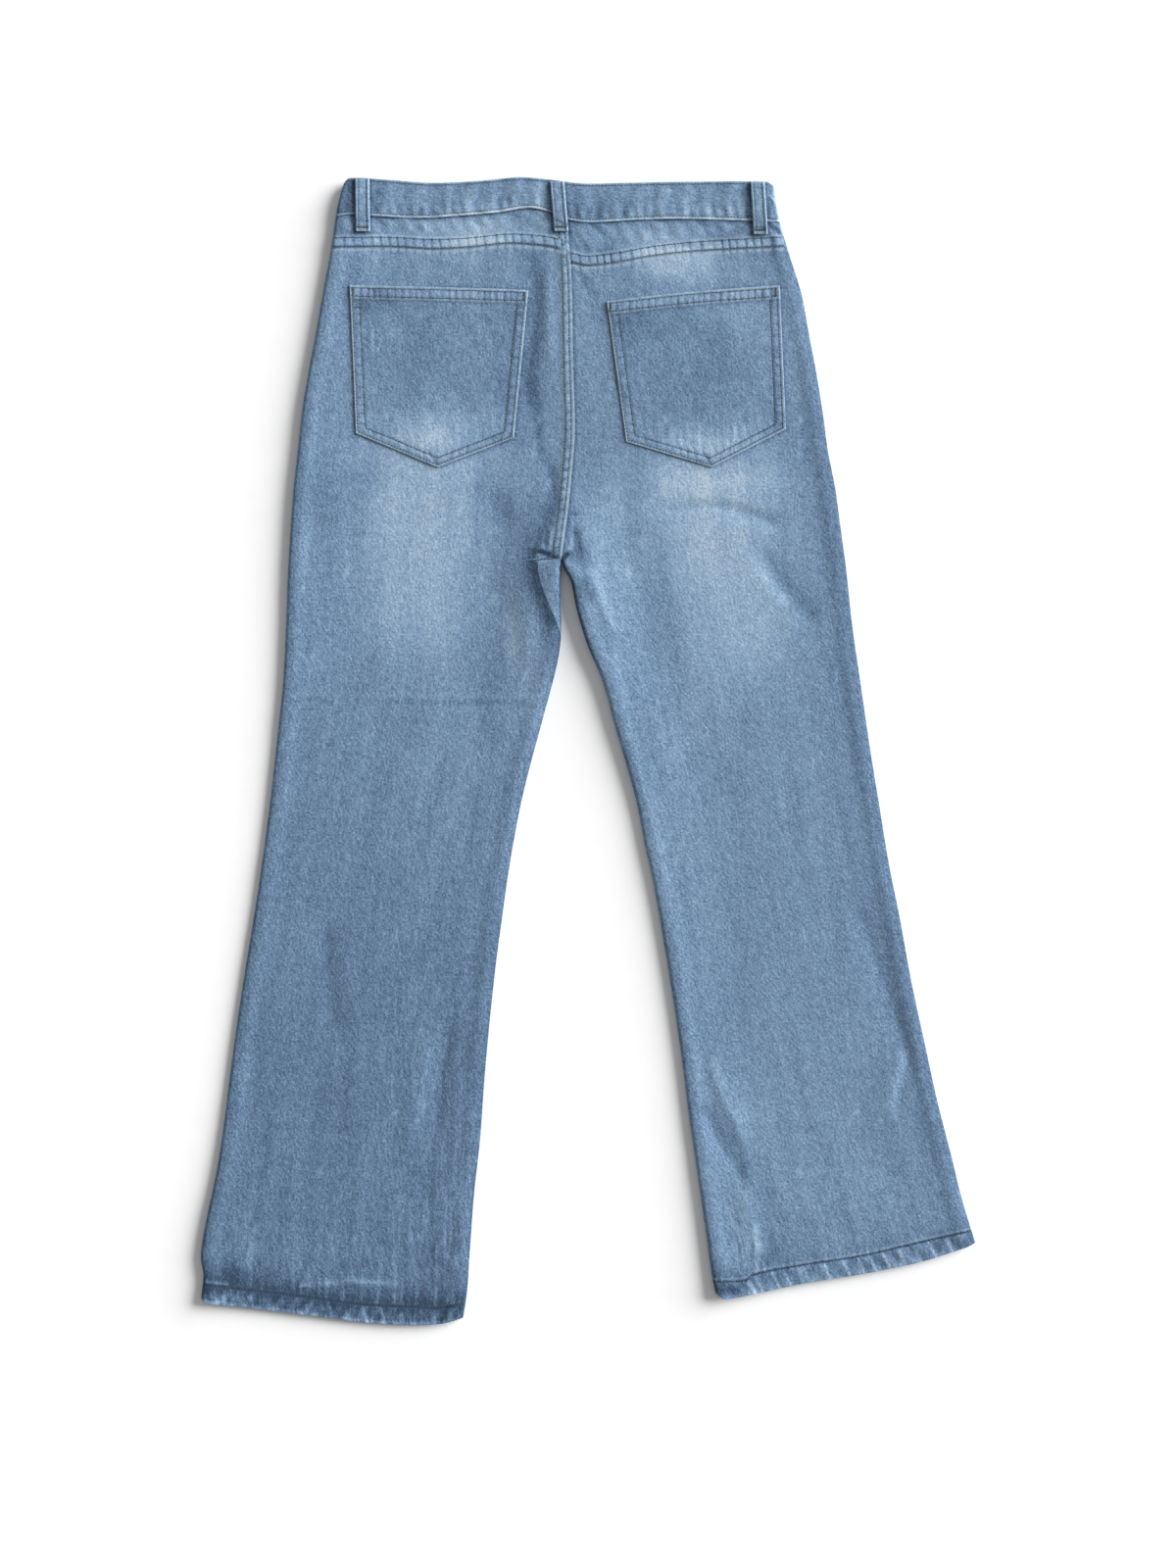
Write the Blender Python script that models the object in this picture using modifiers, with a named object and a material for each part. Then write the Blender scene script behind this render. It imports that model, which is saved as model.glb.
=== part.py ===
"""Bootcut jeans laid flat on their front, back side up.

Units are metres. X runs across the garment, Y runs from the hems to the
waistband and Z rises from the surface it lies on. All tables are in
millimetres. Left and right are the wearer's own.
"""

from collections import namedtuple
from math import cos, exp, hypot, radians, sqrt

import bmesh
import bpy
from mathutils import Vector
from mathutils.bvhtree import BVHTree

MM = 0.001

# ---------------------------------------------------------------- cloth sizes
CLOTH = 1.2
WAISTBAND_THICKNESS = 2.2
HEM_THICKNESS = 2.4
SEAM_THICKNESS = 2.0
SEAM_RISE = SEAM_THICKNESS - CLOTH
SEAM_GAP = 0.3
HALF_GAP = SEAM_GAP / 2
LAY_GAP = 0.42
EDGE_RADIUS = 2.5
FELL_WIDTH = 9.0
HEM_HEIGHT = 16.0
SEAM_STEP = 1.5

# ---------------------------------------------------------- heights when laid
WAISTBAND_FRONT_LIFT = 1.9
WAISTBAND_TOP = 7.4
WAISTBAND_DIP = 7.0
PANEL_TOP_AT_WAIST = 6.2
PANEL_TOP_SEAT = 5.6
PANEL_TOP_LEG = 5.3
EDGE_ROLL_RISE = 0.5
EDGE_ROLL_PLACE = 8.0
EDGE_ROLL_WIDTH = 6.0
EDGE_ROLL_CLEAR = 32.0
LIFT_STARTS = 405.0
LIFT_ENDS = 478.0
HEM_SWELL = 0.45
HEM_SWELL_STARTS = -480.0

SEAT_STARTS = 60.0
SEAT_ENDS = 260.0
WAIST_STARTS = 400.0
WAIST_ENDS = 490.0
FOLD_END_REACH = 1.5

# ------------------------------------------------------------- other pieces
POCKET_COLUMNS = 11
POCKET_HEM = 12.0
POCKET_HEM_RISE = 0.6
POCKET_LEVELS = (0.0, 0.08, 0.2, 0.32, 0.44, 0.56, 0.68, 0.8, 0.915, 0.925, 1.0)
POCKET_HEM_LEVEL = 0.92
LOOP_WIDTH = 13.5
LOOP_THICKNESS = 1.6
LOOP_COLUMNS = 3
LOOP_ROWS = 9
LOOP_REACH = 4.0
PROBE_HEIGHT = 50.0
BUTTON_DIAMETER = 17.0
BUTTON_THICKNESS = 1.5
BUTTON_RIM = 0.4
BUTTON_SIDES = 32
BUTTON_X = -33.0
BUTTON_Y = 507.0

# The waist from side to side: top edge and lower edge of the back waistband.
WaistRow = namedtuple("WaistRow", "x y")
WAIST_TOP = [
    WaistRow(-228.0, 531.5),
    WaistRow(-222.0, 535.8),
    WaistRow(-188.0, 534.5),
    WaistRow(-146.0, 531.8),
    WaistRow(-100.0, 533.6),
    WaistRow(-63.5, 537.0),
    WaistRow(-40.5, 535.4),
    WaistRow(-4.0, 531.2),
    WaistRow(38.0, 531.8),
    WaistRow(93.0, 532.7),
    WaistRow(168.0, 532.7),
    WaistRow(175.0, 529.0),
]
WAIST_FOOT = [
    WaistRow(-236.0, 500.0),
    WaistRow(-218.0, 501.8),
    WaistRow(-202.0, 500.5),
    WaistRow(-155.5, 498.6),
    WaistRow(-109.5, 501.4),
    WaistRow(-82.0, 504.0),
    WaistRow(-53.0, 508.0),
    WaistRow(-31.0, 503.0),
    WaistRow(-19.0, 497.7),
    WaistRow(1.0, 494.6),
    WaistRow(47.0, 496.8),
    WaistRow(93.0, 497.7),
    WaistRow(153.0, 496.0),
    WaistRow(181.0, 495.0),
]

# Where each yoke ends and its back panel begins.
YOKE_FOOT = [
    WaistRow(-240.0, 470.5),
    WaistRow(-183.0, 471.5),
    WaistRow(-146.0, 469.5),
    WaistRow(-109.5, 471.0),
    WaistRow(-72.7, 474.5),
    WaistRow(-36.0, 471.0),
    WaistRow(-14.0, 462.0),
    WaistRow(1.0, 454.0),
    WaistRow(28.5, 457.0),
    WaistRow(56.0, 462.0),
    WaistRow(93.0, 466.5),
    WaistRow(139.0, 469.5),
    WaistRow(190.0, 472.0),
]

# Outer edge of each side, and the inner edge of each leg.
EdgeRow = namedtuple("EdgeRow", "y x")
OUTER_LEFT = [
    EdgeRow(536.0, -226.0),
    EdgeRow(521.0, -231.0),
    EdgeRow(502.0, -235.0),
    EdgeRow(484.0, -237.5),
    EdgeRow(466.0, -240.5),
    EdgeRow(429.0, -247.5),
    EdgeRow(392.0, -254.0),
    EdgeRow(355.0, -261.0),
    EdgeRow(318.0, -267.0),
    EdgeRow(281.5, -271.0),
    EdgeRow(245.0, -275.0),
    EdgeRow(171.0, -280.0),
    EdgeRow(116.0, -282.0),
    EdgeRow(61.0, -285.0),
    EdgeRow(24.0, -289.0),
    EdgeRow(-31.0, -295.0),
    EdgeRow(-86.5, -302.0),
    EdgeRow(-142.0, -310.0),
    EdgeRow(-197.0, -319.0),
    EdgeRow(-252.0, -327.5),
    EdgeRow(-307.0, -335.0),
    EdgeRow(-362.5, -342.0),
    EdgeRow(-399.0, -348.0),
    EdgeRow(-436.0, -356.0),
    EdgeRow(-473.0, -362.0),
    EdgeRow(-491.0, -359.5),
    EdgeRow(-512.0, -361.5),
]
OUTER_RIGHT = [
    EdgeRow(531.0, 174.5),
    EdgeRow(502.0, 179.0),
    EdgeRow(465.5, 189.5),
    EdgeRow(429.0, 201.0),
    EdgeRow(392.0, 208.0),
    EdgeRow(355.0, 215.0),
    EdgeRow(318.0, 221.0),
    EdgeRow(281.5, 226.0),
    EdgeRow(245.0, 233.0),
    EdgeRow(208.0, 238.0),
    EdgeRow(171.0, 243.0),
    EdgeRow(116.0, 249.0),
    EdgeRow(61.0, 257.0),
    EdgeRow(5.5, 265.0),
    EdgeRow(-50.0, 274.0),
    EdgeRow(-105.0, 283.0),
    EdgeRow(-160.0, 294.0),
    EdgeRow(-215.0, 304.0),
    EdgeRow(-270.5, 316.0),
    EdgeRow(-326.0, 328.0),
    EdgeRow(-381.0, 342.0),
    EdgeRow(-418.0, 351.0),
    EdgeRow(-454.5, 362.0),
    EdgeRow(-461.0, 364.0),
]
INNER_LEFT = [
    EdgeRow(500.0, -18.8),
    EdgeRow(479.0, -16.9),
    EdgeRow(462.0, -15.3),
    EdgeRow(438.0, -14.0),
    EdgeRow(369.0, -12.9),
    EdgeRow(300.0, -11.2),
    EdgeRow(263.0, -13.8),
    EdgeRow(226.0, -17.5),
    EdgeRow(196.0, -21.5),
    EdgeRow(178.0, -23.6),
    EdgeRow(167.0, -24.0),
    EdgeRow(153.0, -24.8),
    EdgeRow(116.0, -24.0),
    EdgeRow(97.5, -25.2),
    EdgeRow(79.0, -28.5),
    EdgeRow(61.0, -33.0),
    EdgeRow(24.0, -43.0),
    EdgeRow(-13.0, -53.0),
    EdgeRow(-50.0, -62.0),
    EdgeRow(-86.5, -69.0),
    EdgeRow(-123.0, -75.0),
    EdgeRow(-160.0, -80.0),
    EdgeRow(-197.0, -85.0),
    EdgeRow(-252.0, -91.0),
    EdgeRow(-307.0, -96.0),
    EdgeRow(-362.5, -100.0),
    EdgeRow(-418.0, -106.0),
    EdgeRow(-473.0, -110.0),
    EdgeRow(-508.0, -112.5),
    EdgeRow(-531.0, -116.0),
]
INNER_RIGHT = [
    EdgeRow(500.0, -18.8),
    EdgeRow(479.0, -16.9),
    EdgeRow(462.0, -15.3),
    EdgeRow(438.0, -14.0),
    EdgeRow(369.0, -12.9),
    EdgeRow(300.0, -11.2),
    EdgeRow(263.0, -13.8),
    EdgeRow(226.0, -17.5),
    EdgeRow(196.0, -21.5),
    EdgeRow(178.0, -23.2),
    EdgeRow(171.0, -21.6),
    EdgeRow(160.0, -15.5),
    EdgeRow(134.0, -10.0),
    EdgeRow(116.0, -5.0),
    EdgeRow(97.5, 1.0),
    EdgeRow(79.0, 9.0),
    EdgeRow(61.0, 16.0),
    EdgeRow(24.0, 26.0),
    EdgeRow(-13.0, 37.0),
    EdgeRow(-50.0, 47.0),
    EdgeRow(-86.5, 54.0),
    EdgeRow(-123.0, 62.0),
    EdgeRow(-178.5, 72.0),
    EdgeRow(-234.0, 81.0),
    EdgeRow(-289.0, 89.0),
    EdgeRow(-344.0, 96.0),
    EdgeRow(-399.0, 104.0),
    EdgeRow(-454.5, 112.0),
    EdgeRow(-491.0, 117.0),
    EdgeRow(-512.0, 121.0),
]

# Lower edge of each leg opening.
HEM_LEFT = [
    WaistRow(-362.0, -512.0),
    WaistRow(-357.0, -516.5),
    WaistRow(-322.0, -520.7),
    WaistRow(-249.0, -530.0),
    WaistRow(-194.0, -536.4),
    WaistRow(-140.0, -537.0),
    WaistRow(-116.0, -531.0),
]
HEM_RIGHT = [
    WaistRow(121.0, -508.0),
    WaistRow(127.0, -512.4),
    WaistRow(138.0, -512.0),
    WaistRow(202.0, -499.0),
    WaistRow(257.0, -490.0),
    WaistRow(311.0, -479.0),
    WaistRow(355.0, -465.0),
    WaistRow(364.0, -460.5),
]

# How far the left front panel is rolled round the inseam on to the back.
RollRow = namedtuple("RollRow", "y width")
INSEAM_ROLL = [
    RollRow(178.0, 0.0),
    RollRow(174.0, 13.0),
    RollRow(169.0, 22.0),
    RollRow(161.0, 19.5),
    RollRow(150.0, 16.0),
    RollRow(131.0, 8.5),
    RollRow(116.0, 2.5),
    RollRow(108.0, 0.0),
]

# Main folds of the back: a line, its half width and how far it rises or sinks.
Fold = namedtuple("Fold", "x_from y_from x_to y_to width rise")
FOLDS = [
    Fold(-48.0, 462.0, -44.0, 330.0, 14.0, -0.8),
    Fold(-88.0, 246.0, -70.0, 207.0, 13.0, -0.8),
    Fold(-87.0, 165.0, -84.0, 60.0, 15.0, -0.9),
    Fold(-57.0, 150.0, -54.0, 85.0, 13.0, 0.7),
    Fold(6.0, 160.0, 27.0, 108.0, 10.0, 0.6),
    Fold(60.0, 224.0, 117.0, 232.0, 12.0, -0.7),
    Fold(117.0, 232.0, 180.0, 214.0, 12.0, -0.7),
    Fold(165.0, 184.0, 210.0, 124.0, 14.0, -0.9),
    Fold(256.0, -140.0, 301.0, -290.0, 15.0, -1.0),
    Fold(290.0, -280.0, 278.0, -345.0, 13.0, 0.7),
    Fold(116.0, -290.0, 146.0, -362.0, 12.0, 0.7),
    Fold(112.0, -338.0, 146.0, -398.0, 12.0, -0.8),
    Fold(148.0, -412.0, 160.0, -470.0, 13.0, 0.6),
    Fold(-243.0, -165.0, -235.0, -265.0, 17.0, -0.9),
    Fold(-129.0, -255.0, -144.0, -372.0, 15.0, -1.0),
    Fold(-152.0, -275.0, -166.0, -372.0, 13.0, 0.6),
]

# Five corners of each patch pocket, from the waist side round to its tip.
Pocket = namedtuple("Pocket", "name top_left top_middle top_right foot_right tip foot_left")
POCKETS = [
    Pocket(
        "pocket_left",
        (-221.2, 435.8),
        (-139.0, 434.0),
        (-56.6, 431.6),
        (-70.4, 292.8),
        (-139.8, 265.2),
        (-215.5, 297.2),
    ),
    Pocket(
        "pocket_right",
        (19.1, 421.0),
        (97.0, 429.6),
        (178.5, 435.8),
        (184.3, 301.0),
        (116.8, 265.2),
        (37.3, 289.2),
    ),
]

# Belt loops of the back: the middle of each at its upper and lower end.
Loop = namedtuple("Loop", "name x_top y_top x_foot y_foot")
BACK_LOOPS = [
    Loop("loop_back_left", -210.0, 534.8, -209.5, 486.0),
    Loop("loop_back_centre", -28.0, 532.6, -24.0, 486.5),
    Loop("loop_back_right", 159.5, 532.2, 162.5, 483.5),
]
FRONT_LOOPS = [
    Loop("loop_front_left", -118.0, 525.0, -120.0, 480.0),
    Loop("loop_front_right", 66.0, 525.0, 68.0, 480.0),
]

# Colours, roughness and metal content of the materials.
Finish = namedtuple("Finish", "red green blue roughness metallic")
DENIM = Finish(0.165, 0.275, 0.455, 0.88, 0.0)
DENIM_FACED = Finish(0.195, 0.315, 0.490, 0.88, 0.0)
DENIM_EDGE = Finish(0.240, 0.370, 0.520, 0.88, 0.0)
BUTTON_METAL = Finish(0.300, 0.290, 0.270, 0.38, 1.0)

# Columns of a wall counted in from an edge that turns over at a seam.
TURN_ANGLES = (7.5, 11.0, 45.0, 90.0)
TURN_INSETS = (11.0, 32.0)
FLAT_INSETS = (HALF_GAP, 4.5, FELL_WIDTH, FELL_WIDTH + SEAM_STEP, 18.0, 32.0)
ROLLED_INSETS = (HALF_GAP, 2.0, 5.0, 9.0, 18.0, 32.0)
ROLLED_FRONT_INSETS = (-1.0, -0.5, -0.05, 0.05, 0.6, 11.0)
BACK_MIDDLE_COLUMNS = 6
FRONT_MIDDLE_COLUMNS = 3
TURN_STARTS = 192.0
TURN_ENDS = 167.0
CROTCH_ROWS = (204.0, 193.0, 187.0, 182.0, 178.0, 174.0, 169.0, 161.0, 149.0, 135.0, 121.0, 106.0)
SEAT_ROW_PITCH = 26.0
LEG_ROW_PITCH = 33.0
YOKE_SHARES = (0.5, 1.0)
SETTLE_STEPS = 4
BACK_TOP_LEVEL = 466.0
FRONT_TOP_LEVEL = 490.0
TOP_BEND = 90.0
HEM_BEND = 170.0
WAISTBAND_SHARES = (0.0, 0.12, 0.5, 0.88, 1.0)


def lookup(table, along, wanted, value):
    """Smooth curve through one column of a table, read at a value of another."""
    points = sorted((getattr(row, along), getattr(row, wanted)) for row in table)
    if value <= points[0][0]:
        return points[0][1]
    if value >= points[-1][0]:
        return points[-1][1]
    at = max(i for i in range(len(points) - 1) if points[i][0] <= value)
    (x0, y0), (x1, y1) = points[at], points[at + 1]
    before = points[at - 1] if at > 0 else points[at]
    after = points[at + 2] if at + 2 < len(points) else points[at + 1]
    span = x1 - x0
    slope0 = (y1 - before[1]) / (x1 - before[0]) * span
    slope1 = (after[1] - y0) / (after[0] - x0) * span
    t = (value - x0) / span
    return (
        (2 * t ** 3 - 3 * t ** 2 + 1) * y0
        + (t ** 3 - 2 * t ** 2 + t) * slope0
        + (3 * t ** 2 - 2 * t ** 3) * y1
        + (t ** 3 - t ** 2) * slope1
    )


def smooth(value):
    """Soft step from 0 to 1."""
    t = min(max(value, 0.0), 1.0)
    return t * t * (3 - 2 * t)


def ramp(start, end, value):
    """Soft step from 0 at the start to 1 at the end."""
    return smooth((value - start) / (end - start))


def mix(a, b, share):
    """Value that lies at a share of the way from a to b."""
    return a + (b - a) * share


def quarter(distance):
    """Height of a turned edge as a share of its full height."""
    inset = min(max(distance / EDGE_RADIUS, 0.0), 1.0)
    return sqrt(1.0 - (1.0 - inset) ** 2)


def fold_height(x, y):
    """Sum of the main folds at a point of the back."""
    total = 0.0
    for fold in FOLDS:
        run_x = fold.x_to - fold.x_from
        run_y = fold.y_to - fold.y_from
        length = hypot(run_x, run_y)
        along = ((x - fold.x_from) * run_x + (y - fold.y_from) * run_y) / length
        across = ((x - fold.x_from) * run_y - (y - fold.y_from) * run_x) / length
        reach = fold.width * FOLD_END_REACH
        taper = ramp(-reach, reach, along) * ramp(length + reach, length - reach, along)
        total += fold.rise * taper * exp(-((across / fold.width) ** 2))
    return total


class Side:
    """One side of the garment: its edges and its surfaces."""

    def __init__(self, sign, outer, inner, hem, rolled):
        self.sign = sign
        self.outer_rows = outer
        self.inner_rows = inner
        self.hem_rows = hem
        self.rolled = rolled

    def outer(self, y):
        return lookup(self.outer_rows, "y", "x", y)

    def inner(self, y):
        return lookup(self.inner_rows, "y", "x", y)

    def roll(self, y):
        """Width of the front panel that shows on the back, at the inseam."""
        if not self.rolled:
            return 0.0
        return lookup(INSEAM_ROLL, "y", "width", y)

    def turned(self, y):
        """0 where the two sides are joined, 1 where the legs are apart."""
        return ramp(TURN_STARTS, TURN_ENDS, y)

    def edge_distances(self, x, y):
        return self.sign * (self.outer(y) - x), self.sign * (x - self.inner(y))

    def lift(self, y):
        """Height of the underside: the front rises to lie on its loops."""
        return WAISTBAND_FRONT_LIFT * ramp(LIFT_STARTS, LIFT_ENDS, y)

    def crown(self, x, y):
        """Height of the back before its edges turn down."""
        height = mix(PANEL_TOP_LEG, PANEL_TOP_SEAT, ramp(SEAT_STARTS, SEAT_ENDS, y))
        height = mix(height, PANEL_TOP_AT_WAIST, ramp(WAIST_STARTS, WAIST_ENDS, y))
        outer, inner = self.edge_distances(x, y)
        inner = mix(EDGE_ROLL_CLEAR, inner, self.turned(y))
        for distance in (outer, inner):
            swell = (distance - EDGE_ROLL_PLACE) / EDGE_ROLL_WIDTH
            height += EDGE_ROLL_RISE * exp(-swell * swell) * smooth(distance / EDGE_RADIUS)
        height += fold_height(x, y)
        height += HEM_SWELL * ramp(HEM_SWELL_STARTS, HEM_SWELL_STARTS - HEM_HEIGHT, y)
        return height

    def turn(self, x, y):
        """Share of full height left where the edges turn."""
        outer, inner = self.edge_distances(x, y)
        inner_share = mix(1.0, quarter(inner), self.turned(y))
        return min(quarter(outer), inner_share)

    def back(self, x, y):
        low, high = self.lift(y), self.crown(x, y)
        middle = (low + high) / 2
        return mix(middle, high, self.turn(x, y))

    def front(self, x, y):
        low, high = self.lift(y), self.crown(x, y)
        middle = (low + high) / 2
        return mix(middle, low, self.turn(x, y))


LEFT = Side(-1, OUTER_LEFT, INNER_LEFT, HEM_LEFT, rolled=True)
RIGHT = Side(1, OUTER_RIGHT, INNER_RIGHT, HEM_RIGHT, rolled=False)


def make_material(name, finish):
    material = bpy.data.materials.new(name)
    material.use_nodes = True
    shader = material.node_tree.nodes["Principled BSDF"]
    shader.inputs["Base Color"].default_value = (finish.red, finish.green, finish.blue, 1.0)
    shader.inputs["Roughness"].default_value = finish.roughness
    shader.inputs["Metallic"].default_value = finish.metallic
    material.diffuse_color = (finish.red, finish.green, finish.blue, 1.0)
    return material


def make_wall(name, rows, thickness, finish, collection, face_down=False):
    """A cloth wall: a grid laid on rows of points and thickened inwards.

    Each point is (x, y, z, wall), all in millimetres.
    """
    across = len(rows[0])
    mesh = bpy.data.meshes.new(name)
    shape = bmesh.new()
    bmesh.ops.create_grid(shape, x_segments=across - 1, y_segments=len(rows) - 1, size=1.0)
    ordered = sorted(shape.verts, key=lambda vert: (round(vert.co.y, 5), round(vert.co.x, 5)))
    walls = []
    for number, vert in enumerate(ordered):
        x, y, z, wall = rows[number // across][number % across]
        vert.co = (x * MM, y * MM, z * MM)
        vert.index = number
        walls.append(wall)
    shape.verts.sort()
    shape.normal_update()
    facing = sum(face.normal.z * face.calc_area() for face in shape.faces)
    if (facing < 0.0) != face_down:
        bmesh.ops.reverse_faces(shape, faces=shape.faces)
    shape.to_mesh(mesh)
    shape.free()
    item = bpy.data.objects.new(name, mesh)
    collection.objects.link(item)
    mesh.materials.append(make_material(name + "_cloth", finish))
    group = item.vertex_groups.new(name="wall")
    for number, wall in enumerate(walls):
        group.add([number], wall / thickness, "REPLACE")
    solid = item.modifiers.new("wall", "SOLIDIFY")
    solid.thickness = thickness * MM
    solid.offset = -1.0
    solid.use_even_offset = True
    solid.use_quality_normals = True
    solid.vertex_group = group.name
    return item


def turn_distances():
    """Insets of the columns that follow a turned edge."""
    turned = [EDGE_RADIUS * (1 - cos(radians(angle))) for angle in TURN_ANGLES]
    return turned + list(TURN_INSETS)


def turned_wall(inset, full):
    """Wall of a thickened strip, one layer thick where it turns at a side."""
    return mix(CLOTH, full, ramp(0.0, 2 * EDGE_RADIUS, inset))


def column_places(side, y, outer_insets, inner_insets, middle):
    """X of every column of a row, from the outer edge to the inner one."""
    outer, inner = side.outer(y), side.inner(y)
    left = [outer - side.sign * inset for inset in outer_insets]
    right = [inner + side.sign * inset for inset in inner_insets]
    right.reverse()
    between = [mix(left[-1], right[0], (k + 1) / (middle + 1)) for k in range(middle)]
    return left + between + right


def row_levels(top, foot):
    """Levels of the rows of a leg panel, from the hem to its upper edge."""
    levels = [foot, foot + HEM_HEIGHT / 2, foot + HEM_HEIGHT]
    levels += [foot + HEM_HEIGHT + SEAM_STEP, foot + 2 * HEM_HEIGHT]
    start, end = levels[-1], CROTCH_ROWS[-1]
    count = round((end - start) / LEG_ROW_PITCH)
    levels += [mix(start, end, k / count) for k in range(1, count)]
    levels += reversed(CROTCH_ROWS)
    start = CROTCH_ROWS[0]
    count = round((top - start) / SEAT_ROW_PITCH)
    levels += [mix(start, top, k / count) for k in range(1, count + 1)]
    return levels


def bent_level(side, level, share, top_line, top, foot):
    """A level bent to follow the upper edge and the hem of its panel."""
    y = level
    near_top = ramp(top - TOP_BEND, top, level)
    near_foot = ramp(foot + HEM_BEND, foot, level)
    for _ in range(3):
        x = mix(side.outer(y), side.inner(y), share)
        hem = lookup(side.hem_rows, "x", "y", x)
        y = level + (top_line(x) - top) * near_top + (hem - foot) * near_foot
    return y


def panel_rows(side, top_line, top, insets, middle, height, wall):
    """Rows of points of a leg panel.

    An inset below zero lies beyond the inseam, on the other face of the leg.
    """
    foot = sum(row.y for row in side.hem_rows) / len(side.hem_rows)
    rows = []
    for level in row_levels(top, foot):
        outer_insets, inner_insets = insets(level)
        flat = column_places(side, level, outer_insets, inner_insets, middle)
        outer, inner = side.outer(level), side.inner(level)
        row = []
        for number, place in enumerate(flat):
            share = min((place - outer) / (inner - outer), 1.0)
            y = bent_level(side, level, share, top_line, top, foot)
            x = column_places(side, y, outer_insets, inner_insets, middle)[number]
            beyond = min(side.edge_distances(x, y)[1], 0.0)
            x -= 2 * beyond * side.sign
            z = side.back(x, y) if beyond < 0.0 else height(x, y)
            row.append((x, y, z, wall(x, y, level - foot)))
        rows.append(row)
    return rows


def hem_wall(side, x, y, above_foot):
    """Wall of a leg: folded twice in the hem, one layer above it and at its seams."""
    if above_foot > HEM_HEIGHT + SEAM_STEP / 2:
        return CLOTH
    return turned_wall(max(min(side.edge_distances(x, y)), 0.0), HEM_THICKNESS)


def fell_share(side, x, y):
    """1 on the felled centre seam of the back, 0 off it."""
    if side is RIGHT:
        return 0.0
    inner = side.edge_distances(x, y)[1]
    on_seam = ramp(FELL_WIDTH + SEAM_STEP, FELL_WIDTH, inner)
    return on_seam * (1.0 - side.turned(y))


def back_insets(side, level):
    """Insets of the columns of a back panel from its outer and inner seams."""
    roll = side.roll(level)
    turned = [inset + roll for inset in turn_distances()]
    rolled = [inset + roll for inset in ROLLED_INSETS]
    flat = [inset + roll for inset in FLAT_INSETS]
    leg = [mix(a, b, smooth(roll / EDGE_RADIUS)) for a, b in zip(turned, rolled)]
    share = side.turned(level)
    return turn_distances(), [mix(a, b, share) for a, b in zip(flat, leg)]


def front_insets(side, level):
    """Insets of the columns of a front panel from its outer and inner seams."""
    roll = side.roll(level)
    turned = turn_distances()
    rolled = [inset * (roll if inset < 0 else EDGE_RADIUS) for inset in ROLLED_FRONT_INSETS]
    rolled[0] += HALF_GAP
    leg = [mix(a, b, smooth(roll / EDGE_RADIUS)) for a, b in zip(turned, rolled)]
    share = side.turned(level)
    return turned, [mix(a, b, share) for a, b in zip(FLAT_INSETS, leg)]


def yoke_foot(x):
    return lookup(YOKE_FOOT, "x", "y", x)


def waist_top(x):
    return lookup(WAIST_TOP, "x", "y", x)


def waist_foot(x):
    return lookup(WAIST_FOOT, "x", "y", x)


def front_waist_foot(x):
    """Lower edge of the front waistband, a plain bow from side to side."""
    left, right = WAIST_FOOT[0], WAIST_FOOT[-1]
    straight = mix(left.y, right.y, (x - left.x) / (right.x - left.x))
    return straight - waist_dip(x)


def waist_dip(x):
    """How far the front of the waist lies below the back of it."""
    left, right = WAIST_FOOT[0].x, WAIST_FOOT[-1].x
    across = 2 * (x - left) / (right - left) - 1
    return WAISTBAND_DIP * max(1.0 - across * across, 0.0)


def make_back(side, name, collection):
    """Back of one leg and half the seat, from the yoke to the hem."""

    def height(x, y):
        return side.back(x, y) + SEAM_RISE * fell_share(side, x, y)

    def wall(x, y, above_foot):
        return hem_wall(side, x, y, above_foot) + SEAM_RISE * fell_share(side, x, y)

    rows = panel_rows(
        side,
        lambda x: yoke_foot(x) - HALF_GAP,
        BACK_TOP_LEVEL,
        lambda level: back_insets(side, level),
        BACK_MIDDLE_COLUMNS,
        height,
        wall,
    )
    return make_wall(name, rows, HEM_THICKNESS + SEAM_RISE, DENIM, collection)


def make_front(side, name, collection):
    """Front of one leg and half the seat, from the waistband to the hem."""
    rows = panel_rows(
        side,
        lambda x: front_waist_foot(x) - HALF_GAP,
        FRONT_TOP_LEVEL,
        lambda level: front_insets(side, level),
        FRONT_MIDDLE_COLUMNS,
        side.front,
        lambda x, y, above_foot: hem_wall(side, x, y, above_foot),
    )
    return make_wall(name, rows, HEM_THICKNESS, DENIM, collection, face_down=True)


def settle(side, column, insets, middle, line):
    """Point where a column crosses a line that runs across the garment."""
    x = side.outer(BACK_TOP_LEVEL)
    for _ in range(SETTLE_STEPS):
        y = line(x)
        x = column_places(side, y, insets[0], insets[1], middle)[column]
    return x, y


def make_yoke(side, name, collection):
    """Yoke of one half of the back, with the felled seam along its foot."""
    insets = back_insets(side, BACK_TOP_LEVEL)
    fell_lines = (HALF_GAP, FELL_WIDTH, FELL_WIDTH + SEAM_STEP)
    lines = [lambda x, above=above: yoke_foot(x) + above for above in fell_lines]
    for share in YOKE_SHARES:
        lines.append(
            lambda x, share=share: mix(
                yoke_foot(x) + fell_lines[-1], waist_foot(x) - HALF_GAP, share
            )
        )
    rows = []
    for number, line in enumerate(lines):
        on_foot = 1.0 if number < len(fell_lines) - 1 else 0.0
        row = []
        for column in range(len(insets[0]) + BACK_MIDDLE_COLUMNS + len(insets[1])):
            x, y = settle(side, column, insets, BACK_MIDDLE_COLUMNS, line)
            rise = SEAM_RISE * max(on_foot, fell_share(side, x, y))
            row.append((x, y, side.back(x, y) + rise, CLOTH + rise))
        rows.append(row)
    return make_wall(name, rows, SEAM_THICKNESS, DENIM_FACED, collection)


def band_height(side, x, y, face):
    """Height of an outer face of the waistband, turned at the side of the waist."""
    middle = (WAISTBAND_FRONT_LIFT + WAISTBAND_TOP) / 2
    return mix(middle, face, quarter(side.edge_distances(x, y)[0]))


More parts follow.
